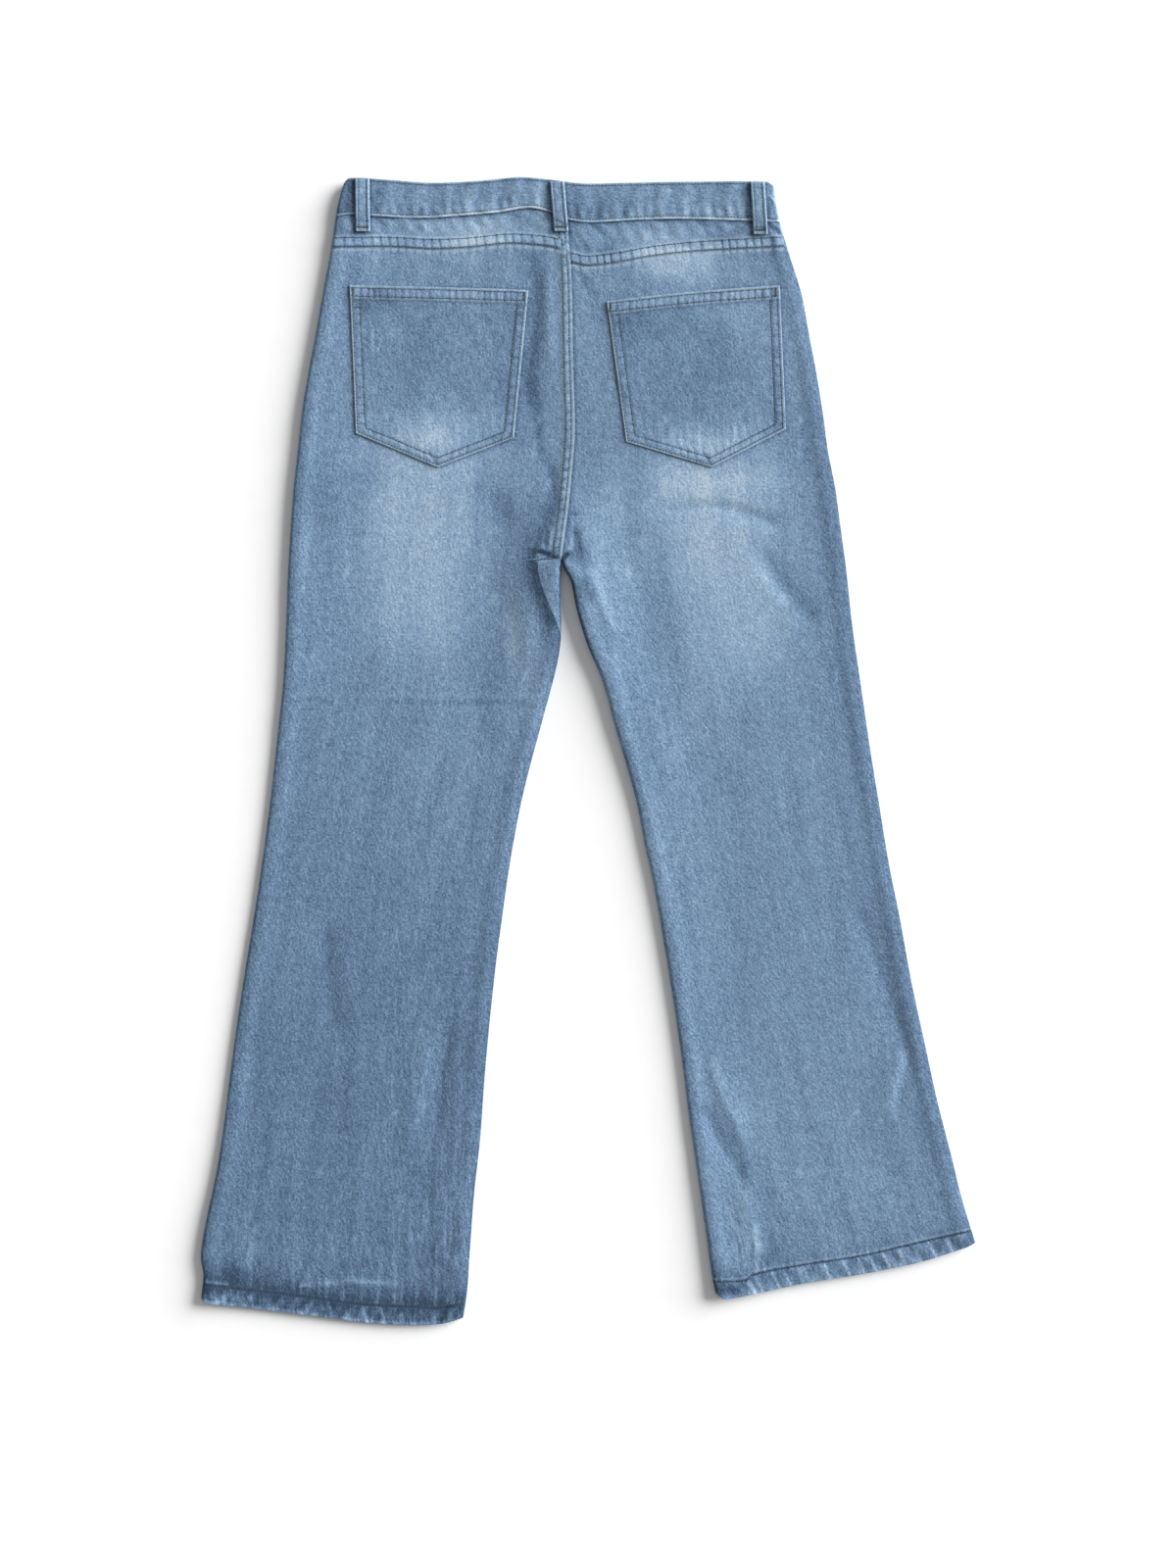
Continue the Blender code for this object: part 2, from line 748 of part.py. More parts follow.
def band_half(side, insets, middle, foot_line, top_line, face):
    """Points of one half of a waistband, from the side to the centre."""
    rows = []
    for share in WAISTBAND_SHARES:
        row = []
        for column in range(len(insets[0]) + middle + len(insets[1])):
            x, y = settle(
                side, column, insets, middle, lambda x: mix(foot_line(x), top_line(x), share)
            )
            inset = side.edge_distances(x, y)[0]
            z = band_height(side, x, y, face)
            row.append((x, y, z, turned_wall(inset, WAISTBAND_THICKNESS)))
        rows.append(row)
    return rows


def make_waistband_back(name, collection):
    """Two layers of waistband across the back, turned down at both sides."""
    halves = [
        band_half(
            side,
            back_insets(side, BACK_TOP_LEVEL),
            BACK_MIDDLE_COLUMNS,
            lambda x: waist_foot(x) + HALF_GAP,
            waist_top,
            WAISTBAND_TOP,
        )
        for side in (LEFT, RIGHT)
    ]
    rows = [left + right[-2::-1] for left, right in zip(*halves)]
    return make_wall(name, rows, WAISTBAND_THICKNESS, DENIM_FACED, collection)


def make_waistband_front(side, name, collection):
    """One half of the front waistband, from the side to the closure."""
    rows = band_half(
        side,
        front_insets(side, FRONT_TOP_LEVEL),
        FRONT_MIDDLE_COLUMNS,
        lambda x: front_waist_foot(x) + HALF_GAP,
        lambda x: waist_top(x) - waist_dip(x),
        WAISTBAND_FRONT_LIFT,
    )
    return make_wall(name, rows, WAISTBAND_THICKNESS, DENIM, collection, face_down=True)


def upper_surface(items):
    """Function that reads the height of the topmost of some walls."""
    trees = [BVHTree.FromPolygons(
        [vert.co for vert in item.data.vertices],
        [tuple(face.vertices) for face in item.data.polygons],
    ) for item in items]

    def height(x, y):
        start = Vector((x * MM, y * MM, PROBE_HEIGHT * MM))
        hits = [tree.ray_cast(start, Vector((0.0, 0.0, -1.0)))[0] for tree in trees]
        levels = [hit.z / MM for hit in hits if hit is not None]
        return max(levels) if levels else 0.0

    return height


def make_pocket(pocket, panel, collection):
    """Patch pocket laid on its panel, with a turned hem along the top."""
    surface = upper_surface([panel])
    rows = []
    for level in POCKET_LEVELS:
        row = []
        for column in range(POCKET_COLUMNS):
            across = column / (POCKET_COLUMNS - 1)
            bow = 4 * across * (1 - across)
            point = []
            for axis in range(2):
                chord = mix(pocket.top_left[axis], pocket.top_right[axis], across)
                sag = pocket.top_middle[axis]
                sag -= (pocket.top_left[axis] + pocket.top_right[axis]) / 2
                top = chord + sag * bow
                half = abs(2 * across - 1)
                corner = pocket.foot_left if across < 0.5 else pocket.foot_right
                foot = mix(pocket.tip[axis], corner[axis], half)
                point.append(mix(foot, top, level))
            x, y = point
            rise = POCKET_HEM_RISE if level > POCKET_HEM_LEVEL else 0.0
            z = surface(x, y) + LAY_GAP + CLOTH + rise
            row.append((x, y, z, CLOTH + rise))
        rows.append(row)
    return make_wall(pocket.name, rows, CLOTH + POCKET_HEM_RISE, DENIM_EDGE, collection)


def make_loop(loop, below, collection, face_down=False):
    """Belt loop laid on the waistband, its lower end on the panel under it."""
    surface = upper_surface(below) if below else None
    rows = []
    for step in range(LOOP_ROWS):
        share = step / (LOOP_ROWS - 1)
        y = mix(loop.y_foot, loop.y_top, share)
        middle = mix(loop.x_foot, loop.x_top, share)
        row = []
        for column in range(LOOP_COLUMNS):
            x = middle + LOOP_WIDTH * (column / (LOOP_COLUMNS - 1) - 0.5)
            z = 0.0
            if surface:
                reaches = (-LOOP_REACH, 0.0, LOOP_REACH)
                near = [surface(x + dx, y + dy) for dx in reaches for dy in reaches]
                z = max(near) + LAY_GAP + LOOP_THICKNESS
            row.append((x, y, z, LOOP_THICKNESS))
        rows.append(row)
    return make_wall(loop.name, rows, LOOP_THICKNESS, DENIM_EDGE, collection, face_down)


def make_button(name, collection):
    """Metal button under the front waistband."""
    bpy.ops.mesh.primitive_cylinder_add(
        vertices=BUTTON_SIDES,
        radius=BUTTON_DIAMETER / 2 * MM,
        depth=BUTTON_THICKNESS * MM,
        location=(BUTTON_X * MM, BUTTON_Y * MM, BUTTON_THICKNESS / 2 * MM),
    )
    item = bpy.context.object
    item.name = name
    item.data.name = name
    for owner in list(item.users_collection):
        owner.objects.unlink(item)
    collection.objects.link(item)
    rim = item.modifiers.new("rim", "BEVEL")
    rim.width = BUTTON_RIM * MM
    rim.segments = 2
    rim.angle_limit = radians(60.0)
    item.data.materials.append(make_material(name + "_metal", BUTTON_METAL))
    return item


def build():
    for item in list(bpy.data.objects):
        bpy.data.objects.remove(item, do_unlink=True)
    collection = bpy.data.collections.new("bootcut_jeans")
    bpy.context.scene.collection.children.link(collection)

    back_left = make_back(LEFT, "back_left", collection)
    back_right = make_back(RIGHT, "back_right", collection)
    make_front(LEFT, "front_left", collection)
    make_front(RIGHT, "front_right", collection)
    yoke_left = make_yoke(LEFT, "yoke_left", collection)
    yoke_right = make_yoke(RIGHT, "yoke_right", collection)
    waistband = make_waistband_back("waistband_back", collection)
    make_waistband_front(LEFT, "waistband_front_left", collection)
    make_waistband_front(RIGHT, "waistband_front_right", collection)

    for pocket, panel in zip(POCKETS, (back_left, back_right)):
        make_pocket(pocket, panel, collection)
    for loop in BACK_LOOPS:
        make_loop(loop, [waistband, yoke_left, yoke_right], collection)
    for loop in FRONT_LOOPS:
        make_loop(loop, None, collection, face_down=True)
    make_button("button", collection)


build()
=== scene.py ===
"""Bootcut jeans laid flat, back side up: cloth, sewing, colour, floor, light and camera.

The tables are in millimetres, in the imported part's own frame. Left and right
are the wearer's.
"""

from math import cos, pi, radians, sin

import bmesh
import bpy
import numpy as np
from bpy.props import FloatProperty, FloatVectorProperty, PointerProperty
from mathutils import Matrix, Vector


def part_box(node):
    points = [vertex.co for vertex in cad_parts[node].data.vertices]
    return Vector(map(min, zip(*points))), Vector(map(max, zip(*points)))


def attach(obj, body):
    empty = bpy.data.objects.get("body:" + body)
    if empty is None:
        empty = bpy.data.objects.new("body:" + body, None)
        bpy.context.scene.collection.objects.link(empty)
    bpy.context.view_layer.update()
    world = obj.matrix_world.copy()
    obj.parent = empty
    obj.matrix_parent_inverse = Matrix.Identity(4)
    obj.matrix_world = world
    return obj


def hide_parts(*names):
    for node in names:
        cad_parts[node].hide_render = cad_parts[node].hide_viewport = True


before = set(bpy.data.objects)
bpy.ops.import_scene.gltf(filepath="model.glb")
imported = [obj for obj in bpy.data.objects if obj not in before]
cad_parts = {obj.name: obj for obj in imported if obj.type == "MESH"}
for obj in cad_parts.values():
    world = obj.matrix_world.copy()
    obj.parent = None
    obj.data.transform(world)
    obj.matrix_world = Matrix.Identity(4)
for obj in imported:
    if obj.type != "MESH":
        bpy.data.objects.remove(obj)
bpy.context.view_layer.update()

bl_info = {
    "name": "Bootcut Jeans",
    "version": (1, 0, 0),
    "blender": (4, 5, 0),
    "location": "View3D > Sidebar > Jeans",
    "description": "Dresses flat-laid bootcut jeans with cloth, sewing and washed denim",
    "category": "Object",
}

MM = 0.001
# Gaps between sheets at a seam, and between a sheet and one rolled over it.
SEAM_GAP = 0.14
HALF_GAP = SEAM_GAP / 2
LAP_GAP = 0.04
# Where the two halves of the garment meet above the crotch, and where the camera
# looks, in metres.
CENTRE_X = -18.0
VIEW_CENTRE = (0.001, -0.031)

# ------------------------------------------------------------------ the cut
WAIST_TOP = (
    (-228, 531.5), (-222, 535.8), (-188, 534.5), (-146, 531.8), (-100, 533.6),
    (-63.5, 537), (-40.5, 535.4), (-4, 531.2), (38, 531.8), (93, 532.7),
    (168, 532.7), (175, 529),
)
WAIST_FOOT = (
    (-236, 500), (-218, 501.8), (-202, 500.5), (-155.5, 498.6), (-109.5, 501.4),
    (-82, 504), (-53, 508), (-31, 503), (-19, 497.7), (1, 494.6),
    (47, 496.8), (93, 497.7), (153, 496), (181, 495),
)
YOKE_FOOT_LEFT = (
    (-240, 470.5), (-183, 471.5), (-146, 469.5), (-109.5, 471), (-72.7, 474.5),
    (-36, 472), (-22, 468), (-14, 464),
)
YOKE_FOOT_RIGHT = (
    (-20, 459), (-13, 456.5), (1, 454), (28.5, 457), (56, 462),
    (93, 466.5), (139, 469.5), (190, 472),
)
OUTER_LEFT = (
    (536, -226), (521, -231), (502, -235), (484, -237.5), (466, -240.5),
    (429, -247.5), (392, -254), (355, -261), (318, -267), (281.5, -271),
    (245, -275), (171, -280), (116, -282), (61, -285), (24, -289),
    (-31, -295), (-86.5, -302), (-142, -310), (-197, -319), (-252, -327.5),
    (-307, -335), (-362.5, -342), (-399, -348), (-436, -356),
    (-473, -362), (-491, -359.5), (-512, -361.5),
)
OUTER_RIGHT = (
    (531, 174.5), (502, 179), (465.5, 189.5), (429, 201), (392, 208),
    (355, 215), (318, 221), (281.5, 226), (245, 233), (208, 238),
    (171, 243), (116, 249), (61, 257), (5.5, 265), (-50, 274),
    (-105, 283), (-160, 294), (-215, 304), (-270.5, 316), (-326, 328),
    (-381, 342), (-418, 351), (-454.5, 362), (-461, 364),
)
CENTRE_SEAM = (
    (500, -18.8), (479, -16.9), (462, -15.3), (438, -14), (369, -12.9),
    (300, -11.2), (263, -13.8), (226, -17.5), (196, -21.5),
)
INNER_LEFT = CENTRE_SEAM + (
    (178, -23.6), (167, -24), (153, -24.8), (116, -24), (97.5, -25.2),
    (79, -28.5), (61, -33), (24, -43), (-13, -53), (-50, -62),
    (-86.5, -69), (-123, -75), (-160, -80), (-197, -85), (-252, -91),
    (-307, -96), (-362.5, -100), (-418, -106), (-473, -110),
    (-508, -112.5), (-531, -116),
)
INNER_RIGHT = CENTRE_SEAM + (
    (178, -23.2), (171, -21.6), (160, -15.5), (134, -10), (116, -5),
    (97.5, 1), (79, 9), (61, 16), (24, 26), (-13, 37), (-50, 47),
    (-86.5, 54), (-123, 62), (-178.5, 72), (-234, 81), (-289, 89),
    (-344, 96), (-399, 104), (-454.5, 112), (-491, 117), (-512, 121),
)
HEM_LEFT = (
    (-362, -512), (-357, -516.5), (-322, -520.7), (-249, -530),
    (-194, -536.4), (-140, -537), (-116, -531),
)
HEM_RIGHT = (
    (121, -508), (127, -512.4), (138, -512), (202, -499), (257, -490),
    (311, -479), (355, -465), (364, -460.5),
)
INSEAM_ROLL = (
    (182, 0), (180, 0.5), (178, 20.6), (174, 21.8), (169, 22),
    (161, 19.5), (150, 16), (131, 8.5), (116, 2.5), (108, 0),
)
# Patch pockets: top left, top middle, top right, foot right, tip, foot left.
POCKETS = {
    "pocket_left": (
        (-222.2, 435.8), (-139.0, 434.0), (-54.6, 431.6),
        (-68.4, 292.8), (-139.8, 265.2), (-216.5, 297.2),
    ),
    "pocket_right": (
        (18.4, 421.0), (97.0, 429.6), (180.5, 435.8),
        (186.3, 301.0), (116.8, 265.2), (36.6, 289.2),
    ),
}
# Belt loops: x and y of the upper end, then of the lower end.
BACK_LOOPS = {
    "loop_back_left": (-210.0, 534.8, -209.5, 486.0),
    "loop_back_centre": (-28.0, 532.6, -24.0, 486.5),
    "loop_back_right": (159.5, 532.2, 162.5, 483.5),
}
FRONT_LOOPS = {
    "loop_front_left": (-118, 525, -120, 480),
    "loop_front_right": (66, 525, 68, 480),
}

# Folds of the back: from x, y to x, y, half width, rise.
FOLDS = (
    (-50, 462, -52, 332, 14, -0.98),
    (-88, 246, -70, 207, 12, -0.78),
    (-87, 165, -84, 60, 15, -0.78),
    (-57, 150, -54, 85, 13, 0.59),
    (6, 160, 27, 108, 8, 0.59),
    (60, 224, 117, 232, 9, -0.85),
    (117, 232, 180, 214, 9, -0.85),
    (165, 184, 210, 124, 12, -0.98),
    (256, -140, 301, -290, 14, -0.98),
    (290, -280, 278, -345, 12, 0.78),
    (116, -290, 146, -362, 10, 0.72),
    (112, -338, 146, -398, 9, -0.91),
    (148, -412, 160, -470, 12, 0.59),
    (-243, -165, -235, -265, 16, -0.91),
    (-129, -255, -144, -372, 14, -0.98),
    (-152, -275, -166, -372, 12, 0.59),
)
# Finer creases: from x, y to x, y, half width, rise, tone. The tone is partly wash and partly
# painted shade in the troughs, darkest in the pits by the crotch.
CREASES = (
    (-268, 202, -108, 201, 2.4, -0.10, -0.05),
    (-276, 47, -190, 45, 2.4, -0.12, -0.06),
    (-190, 45, -60, 44.5, 2.6, -0.30, -0.18),
    (-303, -137, -200, -142, 2.4, -0.13, -0.07),
    (-200, -142, -106, -149, 2.8, -0.20, -0.12),
    (-268, 206, -108, 205, 2.4, 0.06, 0.04),
    (-276, 51.5, -60, 51, 2.6, 0.17, 0.10),
    (-303, -132.5, -106, -144, 2.6, 0.10, 0.06),
    (-53, 466, -47, 442, 5.5, -0.45, -0.40),
    (-47, 442, -48, 400, 6, -0.60, -0.38),
    (-48, 400, -54, 350, 6.5, -0.60, -0.42),
    (-54, 350, -47, 318, 6.5, -0.50, -0.60),
    (-47, 316, -46, 288, 5, -0.35, -0.52),
    (-46, 288, -34, 262, 4.5, -0.30, -0.36),
    (-32, 264, -30, 236, 4.2, -0.55, -0.52),
    (-30, 236, -42, 206, 5, -0.40, -0.34),
    (-42, 206, -52, 182, 6, -0.40, -0.32),
    (-37, 448, -35, 366, 4.5, 0.42, 0.16),
    (-40, 256, -44, 230, 4.5, 0.30, 0.10),
    (-88, 240, -74, 214, 8, -0.28, -0.16),
    (-45, 187.2, -35, 182.8, 1.5, -1, -1.70),
    (-37, 183.4, -24.6, 178, 1.5, -1, -1.60),
    (-17, 184.4, -20.5, 182.4, 1.6, -1.1, -1.90),
    (-20, 182.6, -24, 178.4, 1.6, -1, -1.60),
    (-45, 190.6, -38, 188.2, 2.6, 0.9, 0.80),
    (-18, 190, -16.5, 187, 2.4, 0.8, 0.90),
    (-33.3, 208, -35, 187, 1.6, 0.6, 0.70),
    (-36.5, 206, -38, 190, 1.6, -0.5, -0.40),
    (-14.2, 218, -15.4, 190, 2, 0.4, 0.26),
    (-14.4, 223.6, -10.4, 220.2, 1.6, -0.6, -0.60),
    (-11, 208, -6, 186, 4, -0.45, -0.80),
    (-6, 188, -4, 166, 5, -0.40, -0.50),
    (-4, 166, 4, 142, 5, -0.40, -0.50),
    (2, 168, 24, 112, 5, 0.42, 0.18),
    (6, 204, 34, 160, 6, 0.21, 0.06),
    (-53, 184, -49, 150, 6.5, -0.45, -0.42),
    (-49, 150, -38, 118, 6, -0.40, -0.40),
    (-60, 150, -54, 90, 7, 0.28, 0.12),
    (-74, 140, -66, 84, 6, -0.35, 0.08),
    (-96, 52, -62, 20, 8, 0.28, 0.10),
    (-146, -412, -143.5, -503, 3.6, -0.30, -0.34),
    (-72, 28, -56, 20, 5, -0.28, -0.10),
    (62, 224, 92, 231, 5, -0.35, -0.12),
    (92, 231, 132, 230, 5, -0.42, -0.18),
    (132, 230, 178, 214, 5, -0.39, -0.16),
    (96, 240, 170, 226, 5, 0.32, 0.10),
    (160, 188, 188, 150, 7, -0.42, -0.30),
    (188, 150, 214, 122, 7, -0.42, -0.30),
    (150, 180, 176, 140, 7, 0.28, 0.10),
    (256, -150, 284, -230, 5, -0.42, -0.16),
    (284, -230, 303, -290, 5, -0.49, -0.20),
    (295, -284, 281, -340, 4, 0.42, 0.20),
    (304, -292, 290, -340, 4, -0.35, -0.16),
    (115, -292, 130, -330, 4.5, 0.42, 0.22),
    (130, -330, 146, -362, 4.5, 0.39, 0.18),
    (106, -330, 128, -372, 5, -0.56, -0.26),
    (128, -372, 148, -400, 5, -0.49, -0.24),
    (147, -412, 154, -440, 4, 0.49, 0.28),
    (154, -440, 161, -470, 4, 0.42, 0.26),
    (136, -430, 142, -472, 5, -0.35, -0.14),
    (166, -436, 174, -474, 5, -0.35, -0.16),
    (-270, -501.5, -224, -496.4, 1.5, 0.50, 0.95),
    (-226, -496.4, -176, -498, 1.5, 0.40, 0.75),
    (-358, -496.8, -336, -499.4, 1.5, 0.50, 1.00),
    (-246, -166, -236, -262, 5.5, -0.35, -0.14),
    (-226, -180, -218, -250, 6, 0.21, 0.06),
    (-129, -256, -140, -340, 5.5, -0.49, -0.18),
    (-140, -340, -150, -420, 6, -0.42, -0.14),
    (-118, -300, -126, -430, 6, 0.32, 0.14),
    (-152, -282, -166, -372, 5, 0.28, 0.10),
    (-178, -120, -186, -240, 8, -0.21, -0.06),
    (-210, 20, -216, -90, 9, 0.17, 0.04),
    (40, 452, -8, 438, 4, -0.28, -0.14),
    (-6, 452, 8, 440, 3.5, 0.28, 0.12),
    (-10, 448, 6, 424, 4, -0.32, -0.14),
    (-66, 402, -58, 380, 5, 0.28, 0.14),
)

# Creases of the yokes, their tone partly wash and partly painted shade and highlight.
YOKE_CREASES = (
    (-198, 496, -178, 488, 2.6, -0.35, -0.20),
    (-180, 500, -150, 491, 2.8, 0.30, 0.14),
    (-118, 500, -92, 489, 3, -0.30, -0.12),
    (-70, 502, -48, 487, 3.2, -0.45, -0.24),
    (-60, 506, -38, 490, 3, 0.40, 0.14),
    (-44, 500, -34, 480, 3, -0.45, -0.22),
    (-18, 488, -10, 470, 2.6, -0.50, -0.26),
    (-10, 490, 6, 468, 2.8, 0.40, 0.14),
    (2, 494, 26, 476, 3, -0.40, -0.18),
    (40, 493, 78, 484, 3.2, -0.30, -0.10),
    (100, 494, 138, 485, 3, -0.35, -0.16),
    (140, 490, 156, 481, 2.6, -0.40, -0.22),
    (168, 493, 182, 482, 2.2, -0.60, -0.34),
    (172, 495, 185, 486, 1.8, 0.50, 0.24),
)

# Washed patches, and patches of painted shade by folds, edges and the leg gap: x, y, reach across,
# reach up, lean, tone.
FADES_AND_SHADE = (
    (-155, 200, 56, 112, 0.10, 0.66),
    (-140, 120, 30, 50, 0, 0.16),
    (-140, 272, 62, 26, 0, 0.22),
    (-52, 178, 17, 52, 0, -0.34),
    (-86, 230, 14, 30, 0, -0.06),
    (-68, 214, 9, 14, 0, 0.16),
    (-53, 62, 15, 66, 0.25, 0.28),
    (-62, 364, 12, 36, 0, -0.34),
    (-57, 424, 10, 44, 0, -0.16),
    (-23.5, 202, 5, 9, 0.3, 0.20),
    (-84, 228, 16, 30, 0.7, -0.22),
    (-4, 148, 9, 14, 0, -0.42),
    (-95, 492, 16, 12, 0, 0.26),
    (132, 490, 12, 4, 0, 0.46),
    (150, 486, 5, 6, 0, 0.44),
    (60, 482, 26, 7, 0, 0.26),
    (129, 478.5, 13, 4, 0, -0.48),
    (93, 473.5, 15, 3, 0, -0.55),
    (158, 473, 16, 4, 0, 0.36),
    (16, 466, 11, 7, 0, -0.28),
    (54, 464, 12, 5, 0, 0.22),
    (-183, 494, 11, 4, 0, 0.34),
    (-222, 481, 13, 6, 0, -0.24),
    (-144, 477, 15, 3, 0, -0.60),
    (-81, 477, 9, 3, 0, 0.36),
    (-40, 494, 12, 12, 0, 0.44),
    (-64, 290, 14, 14, 0, -0.18),
    (170, 258, 16, 16, 0, 0.18),
    (-38, 230, 10, 16, 0, -0.22),
    (24, 200, 16, 16, 0, -0.18),
    (-32, 112, 7, 18, 0, -0.42),
    (-68, 118, 8, 36, 0, 0.26),
    (-13, 215, 5, 10, 0, -0.26),
    (-13, 183, 5, 8, 0, -0.46),
    (-22, 227, 5, 9, 0, -0.40),
    (-54, 332, 9, 18, 0, -0.24),
    (-36, 198, 7, 8, 0, 0.24),
    (18, 52, 10, 18, 0, 0.18),
    (-325, -300, 10, 26, 0, 0.18),
    (-242, 366, 13, 32, 0, -0.13),
    (-66, 466, 14, 12, 0, -0.16),
    (22, 466, 14, 12, 0, -0.16),
    (-2, 184, 9, 16, 0.3, -0.40),
    (-120, -420, 12, 62, 0, 0.02),
    (-146, -300, 12, 90, -0.1, 0.08),
    (-230, 410, 26, 60, 0, 0.06),
    (118, 210, 62, 92, -0.10, 0.66),
    (150, 118, 36, 62, -0.20, 0.30),
    (84, 256, 34, 34, 0, 0.30),
    (84, 452, 38, 17, 0, 0.66),
    (10, 190, 17, 56, -0.3, 0.28),
    (44, 90, 22, 110, -0.28, -0.06),
    (70, -90, 16, 130, -0.2, 0.12),
    (-4, 384, 16, 44, 0, 0.04),
    (28, 414, 22, 14, 0, -0.18),
    (138, -452, 20, 38, 0, 0.14),
    (160, -412, 18, 22, 0, -0.18),
    (-338, -491, 24, 13, -0.6, -0.60),
    (132, -504, 15, 5, 0, -1.00),
    (154, -494, 22, 7, -0.15, -0.46),
    (167, -474, 13, 10, 0, -0.40),
    (336, -458, 12, 8, 0, -0.42),
    (351, -452, 5, 9, 0, 0.40),
    (117, -494, 7, 16, 0, -0.38),
    (128, -489, 9, 7, 0, -0.34),
    (155, -482, 6, 10, 0, -0.40),
    (184, -488, 8, 12, 0, -0.34),
    (199, -460, 11, 22, 0, -0.18),
    (-150, -508, 44, 10, -0.1, -0.12),
    (-156, -530, 7, 8, 0, -0.55),
    (-146, -518, 10, 5, 0, -0.40),
    (-342, -512, 14, 5, 0, 0.30),
    (-346, -497, 10, 14, 0, 0.44),
    (-116, -470, 4, 60, 0, 0.20),
    (216, -330, 26, 90, 0, 0.06),
    (-98, 78, 14, 74, 0.15, -0.26),
    (186, 412, 24, 50, 0, 0.26),
    (-38, 202, 9, 10, 0, -0.14),
    (-196, 258, 34, 12, 0, -0.22),
    (-124, 240, 16, 36, 0, 0.16),
    (-340, -330, 9, 52, 0.1, 0.22),
    (258, -420, 16, 32, 0, 0.14),
    (352, -420, 9, 30, -0.2, 0.22),
    (-187, 132, 13, 44, 0, 0.28),
    (-246, 238, 34, 34, 0, -0.24),
    (67, 152, 20, 84, 0, -0.24),
    (166, 98, 14, 26, 0, 0.22),
    (110, 178, 22, 28, 0, 0.14),
    (130, 250, 42, 12, 0, 0.26),
    (33, 334, 11, 40, 0, 0.24),
    (-212, 430, 30, 26, 0, -0.26),
    (56, 440, 34, 9, 0, -0.18),
    (-31, 396, 7, 36, 0, 0.10),
    (-120, 461, 34, 6, 0, 0.16),
    (92, 460, 26, 7, 0, 0.20),
    (-334, -248, 9, 44, 0.15, 0.20),
    (318, -252, 9, 24, -0.25, 0.24),
    (-218, 482, 11, 7, 0, -0.32),
    (-104, 474, 30, 6, 0, 0.24),
    (104, 468, 30, 6, 0, 0.30),
    (-102, 488, 46, 15, 0, 0.42),
    (-160, 486, 30, 12, 0, 0.14),
    (66, 480, 40, 15, 0, 0.30),
    (152, 482, 26, 16, 0, -0.16),
    (-26, 484, 26, 20, 0, -0.10),
)
POCKET_FADES = (
    (-141, 296, 46, 25, 0, 0.66),
    (-168, 286, 26, 18, 0, 0.16),
    (-150, 384, 15, 46, 0, -0.14),
    (-92, 392, 24, 40, 0, -0.06),
    (-201, 382, 7, 18, 0, -0.26),
    (-208, 424, 22, 22, 0, -0.26),
    (-198, 308, 20, 22, 0, 0.18),
    (-72, 360, 12, 52, 0, -0.20),
    (136, 410, 48, 15, 0, 0.22),
    (174, 392, 12, 36, 0, 0.20),
    (52, 402, 18, 24, 0, -0.18),
    (84, 286, 20, 14, 0, 0.18),
    (116, 284, 50, 20, 0, 0.60),
    (-184, 430, 18, 13, 0, -0.40),
    (140, 378, 16, 16, 0, 0.18),
    (166, 350, 12, 16, 0, 0.16),
    (82, 408, 16, 14, 0, -0.16),
    (154, 306, 22, 26, 0, 0.14),
    (118, 350, 36, 46, 0, -0.22),
    (44, 330, 12, 40, 0, 0.16),
    (110, 340, 90, 80, 0, 0.06),
    (152, 396, 18, 40, 0, 0.16),
    (40, 400, 14, 40, 0, -0.12),
)
POCKET_FRAYS = (
    (124, 290, 42, 20, 0, 0.45),
    (-146, 290, 40, 20, 0, 0.25),
    (-92, 396, 26, 40, 0, 0.34),
)
BAND_FADES = (
    (-108, 517, 66, 30, 0, 0.14),
    (-150, 517, 22, 16, 0, -0.20),
    (-82, 507, 42, 7, 0, 0.34),
    (-44, 516, 12, 14, 0, 0.30),
    (27, 514, 18, 14, 0, -0.22),
    (112, 503, 46, 7, 0, 0.30),
    (158, 512, 18, 20, 0, 0.26),
    (-205, 515, 34, 40, 0, -0.10),
    (-226, 515, 14, 40, 0, -0.26),
    (60, 517, 44, 30, 0, 0.14),
    (-14, 517, 26, 40, 0, -0.14),
)
# Light streaks across the hems, and up from their stitches: x, strength.
HEM_STREAKS_LEFT = (
    (-352, 0.5), (-340, 0.6), (-313.7, 0.7), (-300.2, 0.6), (-271, 0.5), (-258, 0.6),
    (-240.8, 0.9), (-225.5, 0.6), (-208.6, 1), (-191.6, 0.8), (-183.1, 0.6), (-166.2, 0.8),
    (-157.7, 0.6), (-144.1, 0.8), (-128, 0.5),
)
GATHERS_LEFT = (
    (-315.4, 0.7), (-286.6, 0.5), (-262, 0.4), (-245, 0.5), (-228.9, 0.8), (-212, 0.5),
    (-196.7, 0.9), (-181.4, 0.8), (-174.7, 0.7), (-160, 0.6), (-142.4, 1), (-130.6, 1),
    (-125.5, 0.7),
)
HEM_STREAKS_RIGHT = (
    (153, 0.9), (160.2, 0.8), (176.2, 1), (187, 0.7), (205, 0.3), (224.5, 1),
    (242.4, 0.8), (256.7, 0.9), (267.4, 0.8), (279.9, 0.7), (294.2, 0.9), (308, 0.4),
    (322.8, 0.9), (338.9, 0.9), (350, 0.5),
)
GATHERS_RIGHT = (
    (127, 0.5), (136, 0.8), (147, 1), (158, 0.9), (166, 0.7), (180, 0.3),
    (224, 0.4), (246, 0.5), (262, 0.3), (318, 0.4), (336, 0.4),
)
# Where the cloth is frayed in thin streaks.
FRAYS = (
    (148, -462, 17, 30, 0, 0.45),
    (-118, -420, 20, 110, 0, 0.30),
    (-160, -300, 40, 160, 0, 0.30),
    (-200, -470, 150, 40, 0, 0.35),
    (240, -440, 120, 30, -0.2, 0.30),
    (-100, -60, 60, 120, 0, 0.22),
    (60, -40, 60, 150, 0, 0.22),
    (116, 250, 60, 40, 0, 0.12),
)
